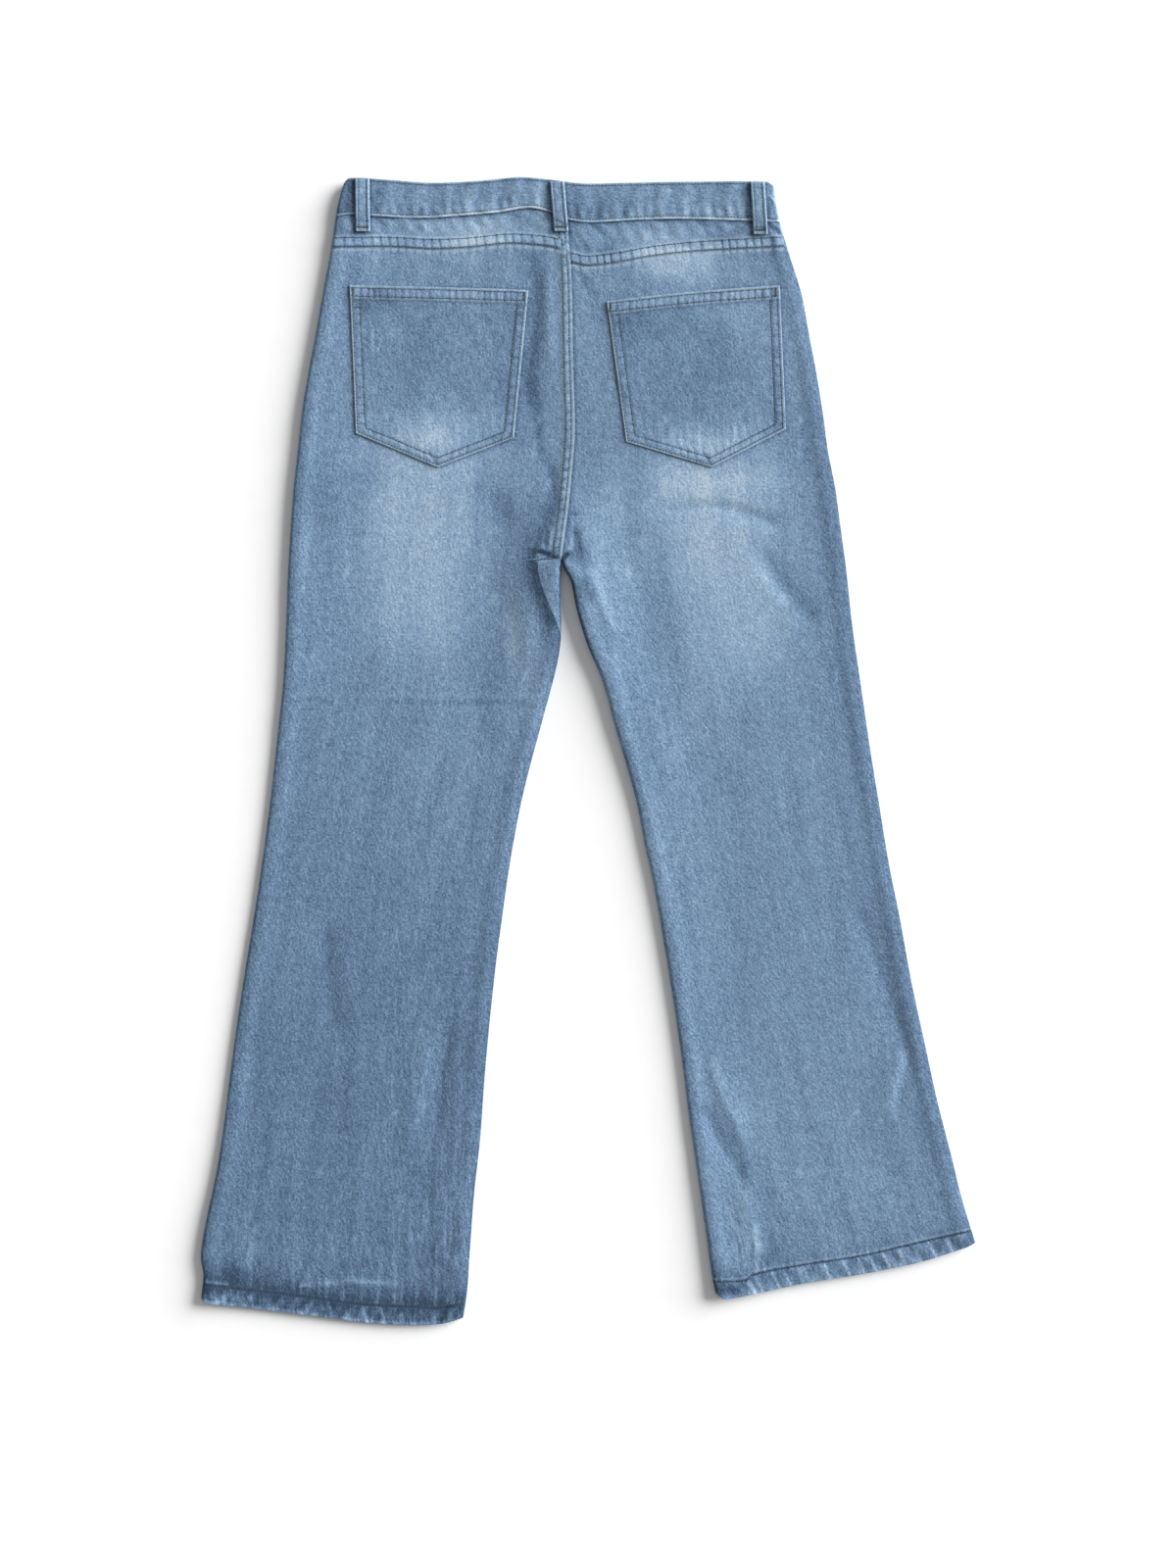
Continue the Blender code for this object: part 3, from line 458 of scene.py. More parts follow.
# Tone of each leg from hem to waist: y, tone.
BASE_LEFT = (
    (-540, -0.40), (-445, -0.37), (-307, -0.34), (-215, -0.28), (-123, -0.22),
    (-31, -0.11), (61, -0.08), (245, -0.02), (330, 0), (470, 0.06),
)
BASE_RIGHT = (
    (-520, -0.10), (-445, -0.10), (-400, 0.02), (-215, 0), (-31, 0.02),
    (61, 0.04), (245, 0.02), (330, 0), (470, 0.06),
)
# Where the hems are stitched.
HEM_SEAM_LEFT = (
    (-363, -499), (-358, -500), (-322, -504), (-267, -510.6), (-212.5, -518),
    (-158, -520.7), (-140, -521.6), (-112, -517),
)
HEM_SEAM_RIGHT = (
    (119, -496.5), (149, -495.4), (154.6, -490.5), (202.4, -481.5), (256.7, -473),
    (311, -460.5), (359, -449.5), (364, -448),
)
# How the hems look: amounts of tone, the slant and breadth of the light streaks,
# and amounts of fray and wear.
HEM_LOOK_LEFT = {
    "shade": 0.56, "upper shade": 0.30, "twist": 0.20, "blotches": 0.32, "lower edge": 0.30,
    "ripples": 0.22, "dark gathers": 1.05, "light gathers": 1.35, "streaks": 0.75,
    "slant": 0.30, "breadth": 1.8, "rim": 0.45, "stitch line": 1.40, "halo": 0.14,
    "pale line": 0.10, "hem fray": 0.5, "gather fray": 0.4, "pale wear": 0.08,
}
HEM_LOOK_RIGHT = {
    "shade": 0.14, "upper shade": 0.0, "twist": 0.12, "blotches": 0.14, "lower edge": 0.10,
    "ripples": 0.10, "dark gathers": 0.24, "light gathers": 0.80, "streaks": 1.20,
    "slant": 0.45, "breadth": 1.2, "rim": 0.10, "stitch line": 0.95, "halo": 0.0,
    "pale line": 0.40, "hem fray": 0.3, "gather fray": 0.2, "pale wear": 0.22,
}

# How much higher the cloth lies beside an edge: y, rise.
PLUMP_OUTER_LEFT = (
    (-540, 1.2), (-440, 1.8), (-300, 0.2), (-31, 0.2), (60, 1.4), (245, 2.4),
    (400, 2.4), (480, 2), (536, 1.6),
)
PLUMP_OUTER_RIGHT = ((-520, 0), (536, 0))
PLUMP_INNER_LEFT = (
    (-540, 0), (20, 0.8), (110, 4.4), (160, 6), (190, 4.8), (250, 0.6),
    (320, 0), (536, 0),
)
PLUMP_INNER_RIGHT = (
    (-512, 2.8), (-450, 2.4), (-300, 1.2), (-100, 1.4), (0, 2.8), (110, 5.2),
    (160, 6), (190, 4.8), (250, 0.6), (320, 0), (536, 0),
)

# ----------------------------------------------------------- heights when laid
WAISTBAND_FRONT_LIFT = 1.9
WAISTBAND_TOP = 7.4
WAISTBAND_DIP = 7.0
PANEL_TOP_AT_WAIST = 6.2
PANEL_TOP_SEAT = 5.6
PANEL_TOP_LEG = 5.3
EDGE_ROLL_RISE = 0.9
EDGE_ROLL_PLACE = 9.0
EDGE_ROLL_WIDTH = 7.0
EDGE_ROLL_CLEAR = 40.0
LIFT = (405.0, 478.0)
SEAT = (60.0, 260.0)
WAIST = (400.0, 490.0)
TURN = (181.0, 172.0)
HEM_SWELL = 0.6
FOLD_END_REACH = 1.5
CREASE_END_REACH = 1.2
PLUMP_REACH = 72.0
SEAM_RISE = 0.8
CLOTH = 1.2
LAY_GAP = 0.30
HEM_HEIGHT = 15.5

# Rows of stitches: in from a pocket's edges, its sides and its foot, and down to
# the edge of its hem; in from a belt loop's edge; in from the centre seam, and
# in from the far edge of its felled band.
POCKET_EDGE_ROW = 2.4
POCKET_SIDE_ROW = 9.3
POCKET_FOOT_ROW = 8.6
POCKET_HEM = 12.4
LOOP_ROW = 2.9
FELL_ROW = 3.2
FELL_FAR_ROW = 0.8
LOOP_LENGTH = 50.0

# The strip of the left front that is rolled onto the back: the width of roll where
# its columns leave the flat seam, the level above which its shade keeps one width,
# and that width. Then the dark line that slants along its top: the x of its left
# end, and its levels at its left and right ends.
ROLL_STARTS = 0.4
STRIP_TOP = 176.0
STRIP_WIDTH = 21.5
PIT_LEFT = -46.0
PIT_HIGH = 186.5
PIT_LOW = 178.0

# ------------------------------------------------------------ rows and columns
TURN_ANGLES = (7.5, 13.0, 20.0, 30.0, 42.0, 56.0, 72.0, 90.0)
TURN_INSETS = (4.2, 5.6, 7.2, 9.0, 11.0, 13.2)
FLAT_INSETS = (
    HALF_GAP, 0.8, 1.5, 2.3, 3.3, 4.5, 5.7, 6.8, 7.8, 8.6, 9.1, 9.8, 10.8, 12.6,
)
ROLLED_INSETS = (
    LAP_GAP, 0.6, 1.2, 1.9, 2.7, 3.6, 4.6, 5.7, 6.9, 8.2, 9.6, 11.1, 12.7, 14.4,
)
ROLLED_FRONT_INSETS = (
    -1.0, -0.93, -0.84, -0.72, -0.6, -0.48, -0.36, -0.24, -0.12, -0.03, 0.05, 0.5, 1.2, 4.0,
)
BACK_TOP_LEVEL = 466.0
FRONT_TOP_LEVEL = 490.0
TOP_BEND = 90.0
HEM_BEND = 170.0
# Width of a panel between the columns that follow its edges, and their pitches.
PANEL_MIDDLE = 230.0
BACK_PITCH = 2.1
FRONT_PITCH = 5.2
# Levels where the pitch of the rows changes, and the pitches from the hem up.
BACK_STOPS = (-154.0, -130.0, 38.0, 56.0, 100.0, 206.0)
BACK_ROWS = (1.35, 5.0, 2.2, 5.0, 2.2, 4.0, 2.0, 2.2, 0.8)
FRONT_STOPS = (100.0, 206.0)
FRONT_ROWS = (1.35, 5.2, 2.0, 5.2, 5.2)
HEM_ZONE = 27.0
TOP_ZONE = 8.0


def curve(table, value):
    """Smooth curve through a table of pairs, read at an array of values."""
    points = np.array(sorted(table), float)
    xs, ys = points[:, 0], points[:, 1]
    value = np.clip(value, xs[0], xs[-1])
    at = np.clip(np.searchsorted(xs, value, side="right") - 1, 0, len(xs) - 2)
    before, after = np.maximum(at - 1, 0), np.minimum(at + 2, len(xs) - 1)
    span = xs[at + 1] - xs[at]
    slope0 = (ys[at + 1] - ys[before]) / (xs[at + 1] - xs[before]) * span
    slope1 = (ys[after] - ys[at]) / (xs[after] - xs[at]) * span
    t = (value - xs[at]) / span
    return (
        (2 * t ** 3 - 3 * t ** 2 + 1) * ys[at]
        + (t ** 3 - 2 * t ** 2 + t) * slope0
        + (3 * t ** 2 - 2 * t ** 3) * ys[at + 1]
        + (t ** 3 - t ** 2) * slope1
    )


def smooth(value):
    """Soft step from 0 to 1."""
    t = np.clip(value, 0.0, 1.0)
    return t * t * (3 - 2 * t)


def ramp(start, end, value):
    """Soft step from 0 at the start to 1 at the end."""
    return smooth((value - start) / (end - start))


def mix(a, b, share):
    """Value that lies at a share of the way from a to b."""
    return a + (b - a) * share


def quarter(distance, radius):
    """Height of a turned edge as a share of its full height."""
    inset = np.clip(distance / radius, 0.0, 1.0)
    return np.sqrt(1.0 - (1.0 - inset) ** 2)


def line(distance, width):
    """1 on a line, falling softly to 0 within its width."""
    return np.exp(-((distance / width) ** 2))


def drift(x, y, patch, seed):
    """Smooth random field from -1 to 1 with patches of about one size."""
    table = np.random.RandomState(seed).uniform(-1.0, 1.0, (64, 64))
    u, v = (0.8 * x + 0.6 * y) / patch, (0.8 * y - 0.6 * x) / patch
    i, j = np.floor(u).astype(int), np.floor(v).astype(int)
    s, t = smooth(u - i), smooth(v - j)
    near = mix(table[i % 64, j % 64], table[(i + 1) % 64, j % 64], s)
    far = mix(table[i % 64, (j + 1) % 64], table[(i + 1) % 64, (j + 1) % 64], s)
    return mix(near, far, t)


def ripple(along, pitch, seed):
    """Uneven ripple along a seam, from -1 to 1."""
    phase = 2.4 * drift(along, along * 0.0, 2.6 * pitch, seed)
    swell = 0.68 + 0.32 * drift(along, along * 0.0, 1.7 * pitch, seed + 1)
    return np.sin(2 * pi * along / pitch + phase) * swell


def ticks(along, pitch, seed):
    """Narrow gathers across a seam: 0 between them, up to 1 on them."""
    phase = along / pitch + 0.55 * drift(along, along * 0.0, 2.3 * pitch, seed)
    deep = 0.6 + 0.4 * drift(along, along * 0.0, 1.4 * pitch, seed + 1)
    return (0.5 + 0.5 * np.cos(2 * pi * phase)) ** 4 * deep


def stroke(x, y, row, reach):
    """Share of a crease at a point: 1 on its line, tapering at its ends."""
    x_from, y_from, x_to, y_to, width = row[:5]
    run_x, run_y = x_to - x_from, y_to - y_from
    length = np.hypot(run_x, run_y)
    along = ((x - x_from) * run_x + (y - y_from) * run_y) / length
    across = ((x - x_from) * run_y - (y - y_from) * run_x) / length
    end = width * reach
    taper = ramp(-end, end, along) * ramp(length + end, length - end, along)
    return taper * line(across, width)


def patch_sum(x, y, table):
    """Sum of a table's patches at a point: of wash and painted shade, or of fray."""
    total = 0.0
    for x_mid, y_mid, reach_x, reach_y, lean, tone in table:
        across = (x - x_mid + lean * (y - y_mid)) / reach_x
        total = total + tone * np.exp(-across ** 2 - ((y - y_mid) / reach_y) ** 2)
    return total


def creases(x, y):
    """Height and tone of the folds and creases at a point of the back; their tone is partly wash
    and partly painted shade in the troughs and painted highlight on the ridges.
    """
    height, tone = 0.0, 0.0
    for row in FOLDS:
        share = stroke(x, y, row, FOLD_END_REACH)
        height = height + row[5] * share
        tone = tone + 0.06 * row[5] * share
    for row in CREASES:
        share = stroke(x, y, row, CREASE_END_REACH)
        height = height + row[5] * share
        tone = tone + row[6] * share
    return height, tone


def size(name):
    """One of the panel's sizes, in millimetres."""
    return getattr(bpy.context.scene.jeans_sizes, name) / MM


class Side:
    """One side of the garment: its edges and the surfaces between them."""

    def __init__(
        self, sign, outer, inner, yoke, hem, hem_seam, base, plump, streaks, hem_look, rolled
    ):
        self.sign = sign
        self.hem_look = hem_look
        self.plump_rows = plump
        self.hem_streaks, self.gathers = streaks
        self.yoke_rows = yoke
        self.outer_rows = outer
        self.inner_rows = inner
        self.hem_rows = hem
        self.hem_seam_rows = hem_seam
        self.base_rows = base
        self.rolled = rolled

    def outer(self, y):
        return curve(self.outer_rows, y)

    def inner(self, y):
        return curve(self.inner_rows, y)

    def roll(self, y):
        """Width of the front panel that shows on the back, at the inseam."""
        return curve(INSEAM_ROLL, y) if self.rolled else 0.0 * y

    def joined(self, y):
        """1 where the two sides are joined, 0 where the legs are apart."""
        return 1.0 - ramp(*TURN, y)

    def insets(self, x, y):
        """Distances from the outer and from the inner edge."""
        return self.sign * (self.outer(y) - x), self.sign * (x - self.inner(y))

    def lift(self, y):
        return WAISTBAND_FRONT_LIFT * ramp(*LIFT, y)

    def felled(self, x, y):
        """1 on the felled centre seam, which belongs to the left side."""
        if self.sign > 0:
            return 0.0 * y
        width = size("fell_width")
        return ramp(width + 2.8, width - 2.4, self.insets(x, y)[1]) * self.joined(y)

    def plump(self, x, y):
        """Extra height of the cloth beside its outer and inner edges."""
        rise = 0.0
        for rows, inset in zip(self.plump_rows, self.insets(x, y)):
            rise = rise + curve(rows, y) * ramp(PLUMP_REACH, 0.0, inset)
        return rise

    def crown(self, x, y):
        """Height of the back before its edges turn down."""
        height = mix(PANEL_TOP_LEG, PANEL_TOP_SEAT, ramp(*SEAT, y))
        height = mix(height, PANEL_TOP_AT_WAIST, ramp(*WAIST, y))
        outer, inner = self.insets(x, y)
        inner = mix(inner, EDGE_ROLL_CLEAR, self.joined(y))
        for distance in (outer, inner):
            swell = line(distance - EDGE_ROLL_PLACE, EDGE_ROLL_WIDTH)
            height = height + EDGE_ROLL_RISE * swell * smooth(distance / size("edge_radius"))
        height = height + creases(x, y)[0] + self.plump(x, y)
        height = height + 0.22 * drift(x, y, 46.0, 3) + 0.07 * drift(x, y, 21.0, 5)
        height = height + 0.025 * drift(x, 0.6 * y, 8.0, 7)
        above = y - curve(self.hem_seam_rows, x)
        height = height + HEM_SWELL * ramp(0.8, -1.6, above)
        height = height + 0.42 * self.rope(x, above) * ramp(0.0, -4.0, above)
        height = height + 0.32 * ripple(x, 6.5, 31) * self.gather(above)
        return height - 0.5 * line(above, 1.2)

    def rope(self, x, above):
        """Twist of the hem round itself, in slanting ridges."""
        if self.sign > 0:
            return ripple(x + 0.9 * above, 19.0, 41)
        return ripple(x - 0.8 * above, 13.0, 43)

    def gather(self, above):
        """Share of the gathers that run up from the hem's stitches."""
        return np.where(above > 0.0, np.exp(-np.maximum(above, 0.0) / (8.5 - 2.5 * self.sign)), 0.0)

    def turn(self, x, y):
        """Share of full height left where the edges turn."""
        outer, inner = self.insets(x, y)
        radius = size("edge_radius")
        inner_share = mix(quarter(inner, radius), 1.0, self.joined(y))
        return np.minimum(quarter(outer, radius), inner_share)

    def back(self, x, y):
        low, high = self.lift(y), self.crown(x, y)
        return mix((low + high) / 2, high, self.turn(x, y))

    def front(self, x, y):
        low, high = self.lift(y), self.crown(x, y)
        return mix((low + high) / 2, low, self.turn(x, y))

    def seam_face(self, x, y):
        """Height, tone and wear that the felled centre seam adds."""
        felled = self.felled(x, y)
        inset = self.insets(x, y)[1]
        width = size("fell_width")
        pucker = (0.25 - ticks(y + 0.4 * inset, 9.4, 51)) * felled
        far_row = line(inset - width + FELL_FAR_ROW, 0.9)
        stitches = (line(inset - FELL_ROW, 0.9) + 0.4 * far_row) * felled
        height = SEAM_RISE * felled + 0.30 * pucker - 0.24 * stitches
        edge = line(inset - 1.0, 1.2) * self.joined(y) * (self.sign < 0)
        tone = 1.10 * pucker - 0.50 * stitches + 0.20 * felled + 0.30 * edge
        beside = line(inset - width - 1.2, 1.2) * self.joined(y) * (self.sign < 0)
        wear = (0.36 + 0.34 * ramp(345.0, 305.0, y)) * edge * ramp(450.0, 380.0, y)
        wear = wear + 0.10 * edge + 0.22 * beside
        # Painted shadow on the right panel beside the felled seam's folded edge.
        fold_shadow = line(inset - 0.4, 2.0) * self.joined(y) * (self.sign > 0)
        tone = tone - 0.66 * fold_shadow
        return height, tone, wear

    def hem_face(self, x, y):
        """Tone and wear that the hem adds to the back of a leg, and its fray."""
        look = self.hem_look
        above = y - curve(self.hem_seam_rows, x)
        hem, gather = ramp(0.8, -0.8, above), self.gather(above)
        blotch = drift(x - above, 1.3 * y, 12.0, 29) + 0.6 * drift(x + above, y, 6.0, 37)
        inside = look["blotches"] * blotch - look["shade"]
        inside = inside + look["twist"] * np.maximum(self.rope(x, above), -0.4)
        inside = inside - look["upper shade"] * ramp(-9.0, -1.0, above)
        inside = inside + look["lower edge"] * ramp(-11.0, -17.0, above)
        place = x + look["slant"] * (above + 8.0)
        streaks = sum(part * line(place - at, look["breadth"]) for at, part in self.hem_streaks)
        inside = inside + look["streaks"] * streaks * ramp(0.0, -3.0, above)
        place = x - 0.05 * above
        gathers = sum(part * line(place - at, 1.4) for at, part in self.gathers)
        tone = inside * hem + look["light gathers"] * gathers * gather ** 0.8
        ripples = look["ripples"] * ripple(x, 7.5, 31)
        tone = tone + (ripples - look["dark gathers"]) * gather
        tone = tone + look["rim"] * line(y - curve(self.hem_rows, x) - 1.6, 1.5)
        uneven = 1.0 + 0.5 * drift(x, 0.0 * x, 4.5, 33)
        tone = tone - look["stitch line"] * line(above, 1.0) * uneven
        tone = tone - look["halo"] * line(above, 6.0)
        tone = tone + look["pale line"] * line(above - 2.2, 1.2)
        fray = look["hem fray"] * hem + look["gather fray"] * gather
        wear = look["pale wear"] * line(above - 2.0, 0.9)
        return tone, wear, np.maximum(fray, patch_sum(x, y, FRAYS))

    def face(self, x, y):
        """Height, tone, wear and fray of the back of a leg."""
        height = self.back(x, y)
        seam_height, tone, wear = self.seam_face(x, y)
        tone = tone + curve(self.base_rows, y) + patch_sum(x, y, FADES_AND_SHADE) + creases(x, y)[1]
        outer, inner = self.insets(x, y)
        # Painted shade along the edges that face the key light, the right leg's outer edge and the
        # left leg's inner edge, deepest at the very edge.
        right = outer if self.sign > 0 else inner + 60.0 * self.joined(y)
        edge = 0.10 * ramp(60.0, 20.0, outer) + 0.12 * ramp(26.0, 4.0, outer)
        tone = tone - edge * (self.sign > 0) - 0.32 * line(right, 4.5)
        tone = tone - 0.56 * line(right, 2.2)
        tone = tone + 0.03 * drift(x, 0.3 * y, 12.0, 11) + 0.05 * drift(x, 0.5 * y, 40.0, 13)
        tone = tone + 0.04 * drift(x, y, 22.0, 15)
        hem_tone, hem_wear, fray = self.hem_face(x, y)
        tone, wear = tone + hem_tone, wear + hem_wear
        # Painted shadow on the panel just outside each pocket's edges, right of its tip.
        for corners in POCKETS.values():
            rim = np.minimum.reduce(pocket_insets(corners, x, y))
            near = (x > corners[4][0]) * (x < corners[4][0] + 120.0)
            tone = tone - 0.42 * near * line(np.minimum(rim, 0.0) + 0.4, 1.8)
        under = curve(self.yoke_rows, x) - y
        puckers = (0.2 - ticks(x, 8.4, 71)) * ramp(15.0, 1.0, under)
        wear = wear + (0.45 + puckers) * line(under - 2.0, 1.4)
        # A thin painted shade lies just under the yoke's edge.
        tone = tone - 0.14 * line(under, 0.9) + 0.42 * puckers
        if self.rolled:
            rolled = np.where(y > STRIP_TOP, STRIP_WIDTH, self.roll(y))
            shade = line(np.maximum(inner - rolled, 0.0), 9.0) * ramp(1.0, 5.0, rolled)
            tone = tone - 0.62 * shade * ramp(198.0, 180.0, y)
            pit = mix(PIT_HIGH, PIT_LOW, (x - PIT_LEFT) / STRIP_WIDTH)
            shelf = ramp(0.2, 1.8, pit - y) * ramp(PIT_LEFT - 2.0, PIT_LEFT + 0.5, x)
            shelf = shelf * ramp(STRIP_TOP, STRIP_TOP + 2.0, y)
            tone = mix(tone, curve(self.base_rows, y) + 0.16, shelf)
        # Painted shade on the legs' inner edges where they face each other across the gap, to
        # darken it.
        walls = line(inner, 1.8) * (1.0 - self.joined(y)) * ramp(60.0, 120.0, y)
        tone = tone - 1.3 * walls
        return height + seam_height + 0.2 * puckers, tone, np.clip(wear, 0.0, 1.0), fray

    def front_face(self, x, y, beyond):
        """Height, tone and wear of the front; what lies beyond shows on the back."""
        over = self.back(x, y) + SEAM_RISE * self.felled(x, y)
        height = np.where(beyond < 0.0, over, self.front(x, y))
        tone = curve(self.base_rows, y) + 0.12 * (beyond < 0.0)
        tone = tone + 0.26 * line(beyond + 0.72 * self.roll(y), 2.4) * (beyond < 0.0)
        inner = self.insets(x, y)[1]
        # Painted shade on the rolled strip along the inseam's edge, where the cloth turns down into
        # the leg gap.
        tone = tone - (0.7 * line(inner, 3.0) + 1.0 * line(inner, 1.3)) * (beyond < 0.0)
        tone = tone + 0.08 * drift(x, 0.3 * y, 12.0, 19) + 0.06 * drift(x, y, 40.0, 23)
        above = y - curve(self.hem_seam_rows, x)
        tone = tone - 0.30 * ramp(0.8, -0.8, above) - 0.30 * line(above, 1.1)
        wear = 0.30 * line(beyond + self.roll(y), 1.2) * (beyond < 0.0)
        return height, tone, wear


LEFT = Side(
    -1, OUTER_LEFT, INNER_LEFT, YOKE_FOOT_LEFT, HEM_LEFT, HEM_SEAM_LEFT, BASE_LEFT,
    (PLUMP_OUTER_LEFT, PLUMP_INNER_LEFT), (HEM_STREAKS_LEFT, GATHERS_LEFT), HEM_LOOK_LEFT,
    rolled=True,
)
RIGHT = Side(
    1, OUTER_RIGHT, INNER_RIGHT, YOKE_FOOT_RIGHT, HEM_RIGHT, HEM_SEAM_RIGHT, BASE_RIGHT,
    (PLUMP_OUTER_RIGHT, PLUMP_INNER_RIGHT), (HEM_STREAKS_RIGHT, GATHERS_RIGHT), HEM_LOOK_RIGHT,
    rolled=False,
)


def side_at(x):
    """The side that a place above the crotch belongs to."""
    return LEFT if np.mean(x) < CENTRE_X else RIGHT


# ----------------------------------------------------------------- cloth pieces
def make_cloth(name, x, y, face, wall, grain, material, face_down=False, even=True):
    """A sheet of cloth: a grid laid on points and given its wall.

    face holds height, tone, wear and, where it has streaks, fray at each point,
    grain the two lengths that the weave follows. Lengths are in millimetres.
    """
    height, tone, wear, fray = (np.broadcast_to(part, x.shape) for part in (*face, 0.0)[:4])
    rows, columns = x.shape
    bpy.ops.object.select_all(action="DESELECT")
    bpy.ops.mesh.primitive_grid_add(x_subdivisions=columns - 1, y_subdivisions=rows - 1)
    item = bpy.context.object
    item.name = item.data.name = name
    mesh = item.data
    if len(mesh.vertices) != rows * columns:
        raise RuntimeError(name + ": the grid has a wrong number of points")
    places = np.stack([x, y, height], axis=-1).reshape(-1, 3) * MM
    mesh.vertices.foreach_set("co", places.ravel())
    item.matrix_world = Matrix.Identity(4)
    mesh.update()
    up = sum(face.normal.z * face.area for face in list(mesh.polygons)[:: max(rows, 7)])
    if (up < 0.0) != face_down:
        mesh.flip_normals()
    lengths = np.stack([part.ravel() * MM for part in grain], axis=-1)
    corners = np.empty(len(mesh.loops), int)
    mesh.loops.foreach_get("vertex_index", corners)
    mesh.uv_layers[0].name = "UVMap"
    mesh.uv_layers["UVMap"].data.foreach_set("uv", lengths[corners].ravel())
    for label, values in (("tone", tone), ("wear", wear), ("fray", fray)):
        store = mesh.attributes.new(label, "FLOAT", "POINT")
        store.data.foreach_set("value", np.ascontiguousarray(values, np.float32).ravel())
    walls = np.broadcast_to(wall, x.shape).ravel()
    full = float(walls.max())
    solid = item.modifiers.new("wall", "SOLIDIFY")
    solid.thickness = full * MM
    solid.offset = -1.0
    solid.use_even_offset = even
    if walls.min() < full:
        group = item.vertex_groups.new(name="wall")
        for share in np.unique(np.round(walls / full, 2)):
            chosen = np.nonzero(np.round(walls / full, 2) == share)[0].tolist()
            group.add(chosen, float(share), "REPLACE")
        solid.vertex_group = group.name
    bpy.ops.object.modifier_apply(modifier=solid.name)
    bpy.ops.object.shade_smooth_by_angle(angle=radians(55.0))
    mesh.materials.append(material)
    return item


def declare(item, node, flat, area, rests_on, slot, with_pieces=()):
    """Attach a sheet of cloth to the root and hide the part that it replaces."""
    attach(item, "root")
    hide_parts(node)


def turn_distances(radius):
    """Insets of the columns that follow a turned edge."""
    turned = [radius * (1 - cos(radians(angle))) for angle in TURN_ANGLES]
    return np.array(turned + list(TURN_INSETS))


def back_insets(side, level):
    """Insets of the columns of a back panel from its outer and inner seams."""
    radius = size("edge_radius")
    roll = side.roll(level)[:, None]
    rolled = ramp(0.0, ROLL_STARTS, roll)
    leg = mix(turn_distances(radius), np.array(ROLLED_INSETS), rolled) + roll
    flat = side.joined(level)[:, None] * (1.0 - rolled)
    inner = mix(leg, np.array(FLAT_INSETS) + roll, flat)
    return np.broadcast_to(turn_distances(radius), inner.shape), inner


def front_insets(side, level):
    """Insets of the columns of a front panel from its outer and inner seams."""
    radius = size("edge_radius")
    roll = side.roll(level)[:, None]
    shares = np.array(ROLLED_FRONT_INSETS)
    rolled = np.where(shares < 0.0, shares * roll, shares * radius)
    rolled[:, 0] += LAP_GAP
    share = ramp(0.0, ROLL_STARTS, roll)
    leg = mix(turn_distances(radius), rolled, share)
    flat = side.joined(level)[:, None] * (1.0 - share)
    inner = mix(leg, np.array(FLAT_INSETS), flat)
    return np.broadcast_to(turn_distances(radius), inner.shape), inner


class Columns:
    """Columns of a panel, counted in from its outer and from its inner edge."""

    def __init__(self, side, outer_insets, inner_insets, middle):
        self.side = side
        steps = np.arange(1, middle + 1) / (middle + 1)
        first = -side.sign * outer_insets
        last = side.sign * inner_insets[:, ::-1]
        between = mix(first[:, -1:], last[:, :1], steps)
        self.offset = np.concatenate([first, between, last], axis=1)
        self.share = np.concatenate(
            [np.zeros(first.shape[1]), steps, np.ones(last.shape[1])]
        )

    def at(self, y):
        """X of every point of the rows, at its y."""
        return mix(self.side.outer(y), self.side.inner(y), self.share) + self.offset


def row_levels(top, foot, between, pitches):
    """Levels of the rows of a leg panel, from the hem to its upper edge."""
    stops = (foot, foot + HEM_ZONE, *between, top - TOP_ZONE, top)
    levels = [np.array([foot])]
    for start, end, step in zip(stops, stops[1:], pitches):
        count = max(round((end - start) / step), 1)
        levels.append(start + (end - start) * np.arange(1, count + 1) / count)
    return np.concatenate(levels)


def panel_points(side, top_line, top, insets, pitch, stops, row_pitches):
    """Points of a leg panel and how far each lies beyond the inseam."""
    foot = sum(row[1] for row in side.hem_rows) / len(side.hem_rows)
    levels = row_levels(top, foot, stops, row_pitches)
    middle = round(PANEL_MIDDLE / pitch)
    columns = Columns(side, *insets(side, levels), middle)
    level = np.repeat(levels[:, None], len(columns.share), axis=1)
    outer, inner = side.outer(level), side.inner(level)
    share = np.minimum((columns.at(level) - outer) / (inner - outer), 1.0)
    near_top = ramp(top - TOP_BEND, top, level)
    near_foot = ramp(foot + HEM_BEND, foot, level)
    y = level
    for _ in range(3):
        x = mix(side.outer(y), side.inner(y), share)
        hem = curve(side.hem_rows, x)
        y = level + (top_line(x) - top) * near_top + (hem - foot) * near_foot
    x = columns.at(y)
    beyond = np.minimum(side.insets(x, y)[1], 0.0)
    return x - 2 * beyond * side.sign, y, beyond, level - foot


def inner_wall(name, inset):
    """Wall with one layer of cloth at a turned side and a named thickness inside."""
    return mix(CLOTH, size(name), ramp(0.0, 2 * size("edge_radius"), inset))


def leg_grain(side, x, y):
    """The weave of a leg follows the line down its middle."""
    return x - (side.outer(y) + side.inner(y)) / 2, y


def hem_wall(side, x, y, above_foot):
    """Wall of a leg: double in the hem, one layer above it and at its sides."""
    inset = np.maximum(np.minimum(*side.insets(x, y)), 0.0)
    hem = inner_wall("hem_thickness", inset)
    return mix(hem, CLOTH, ramp(HEM_HEIGHT, HEM_HEIGHT + 2.0, above_foot))


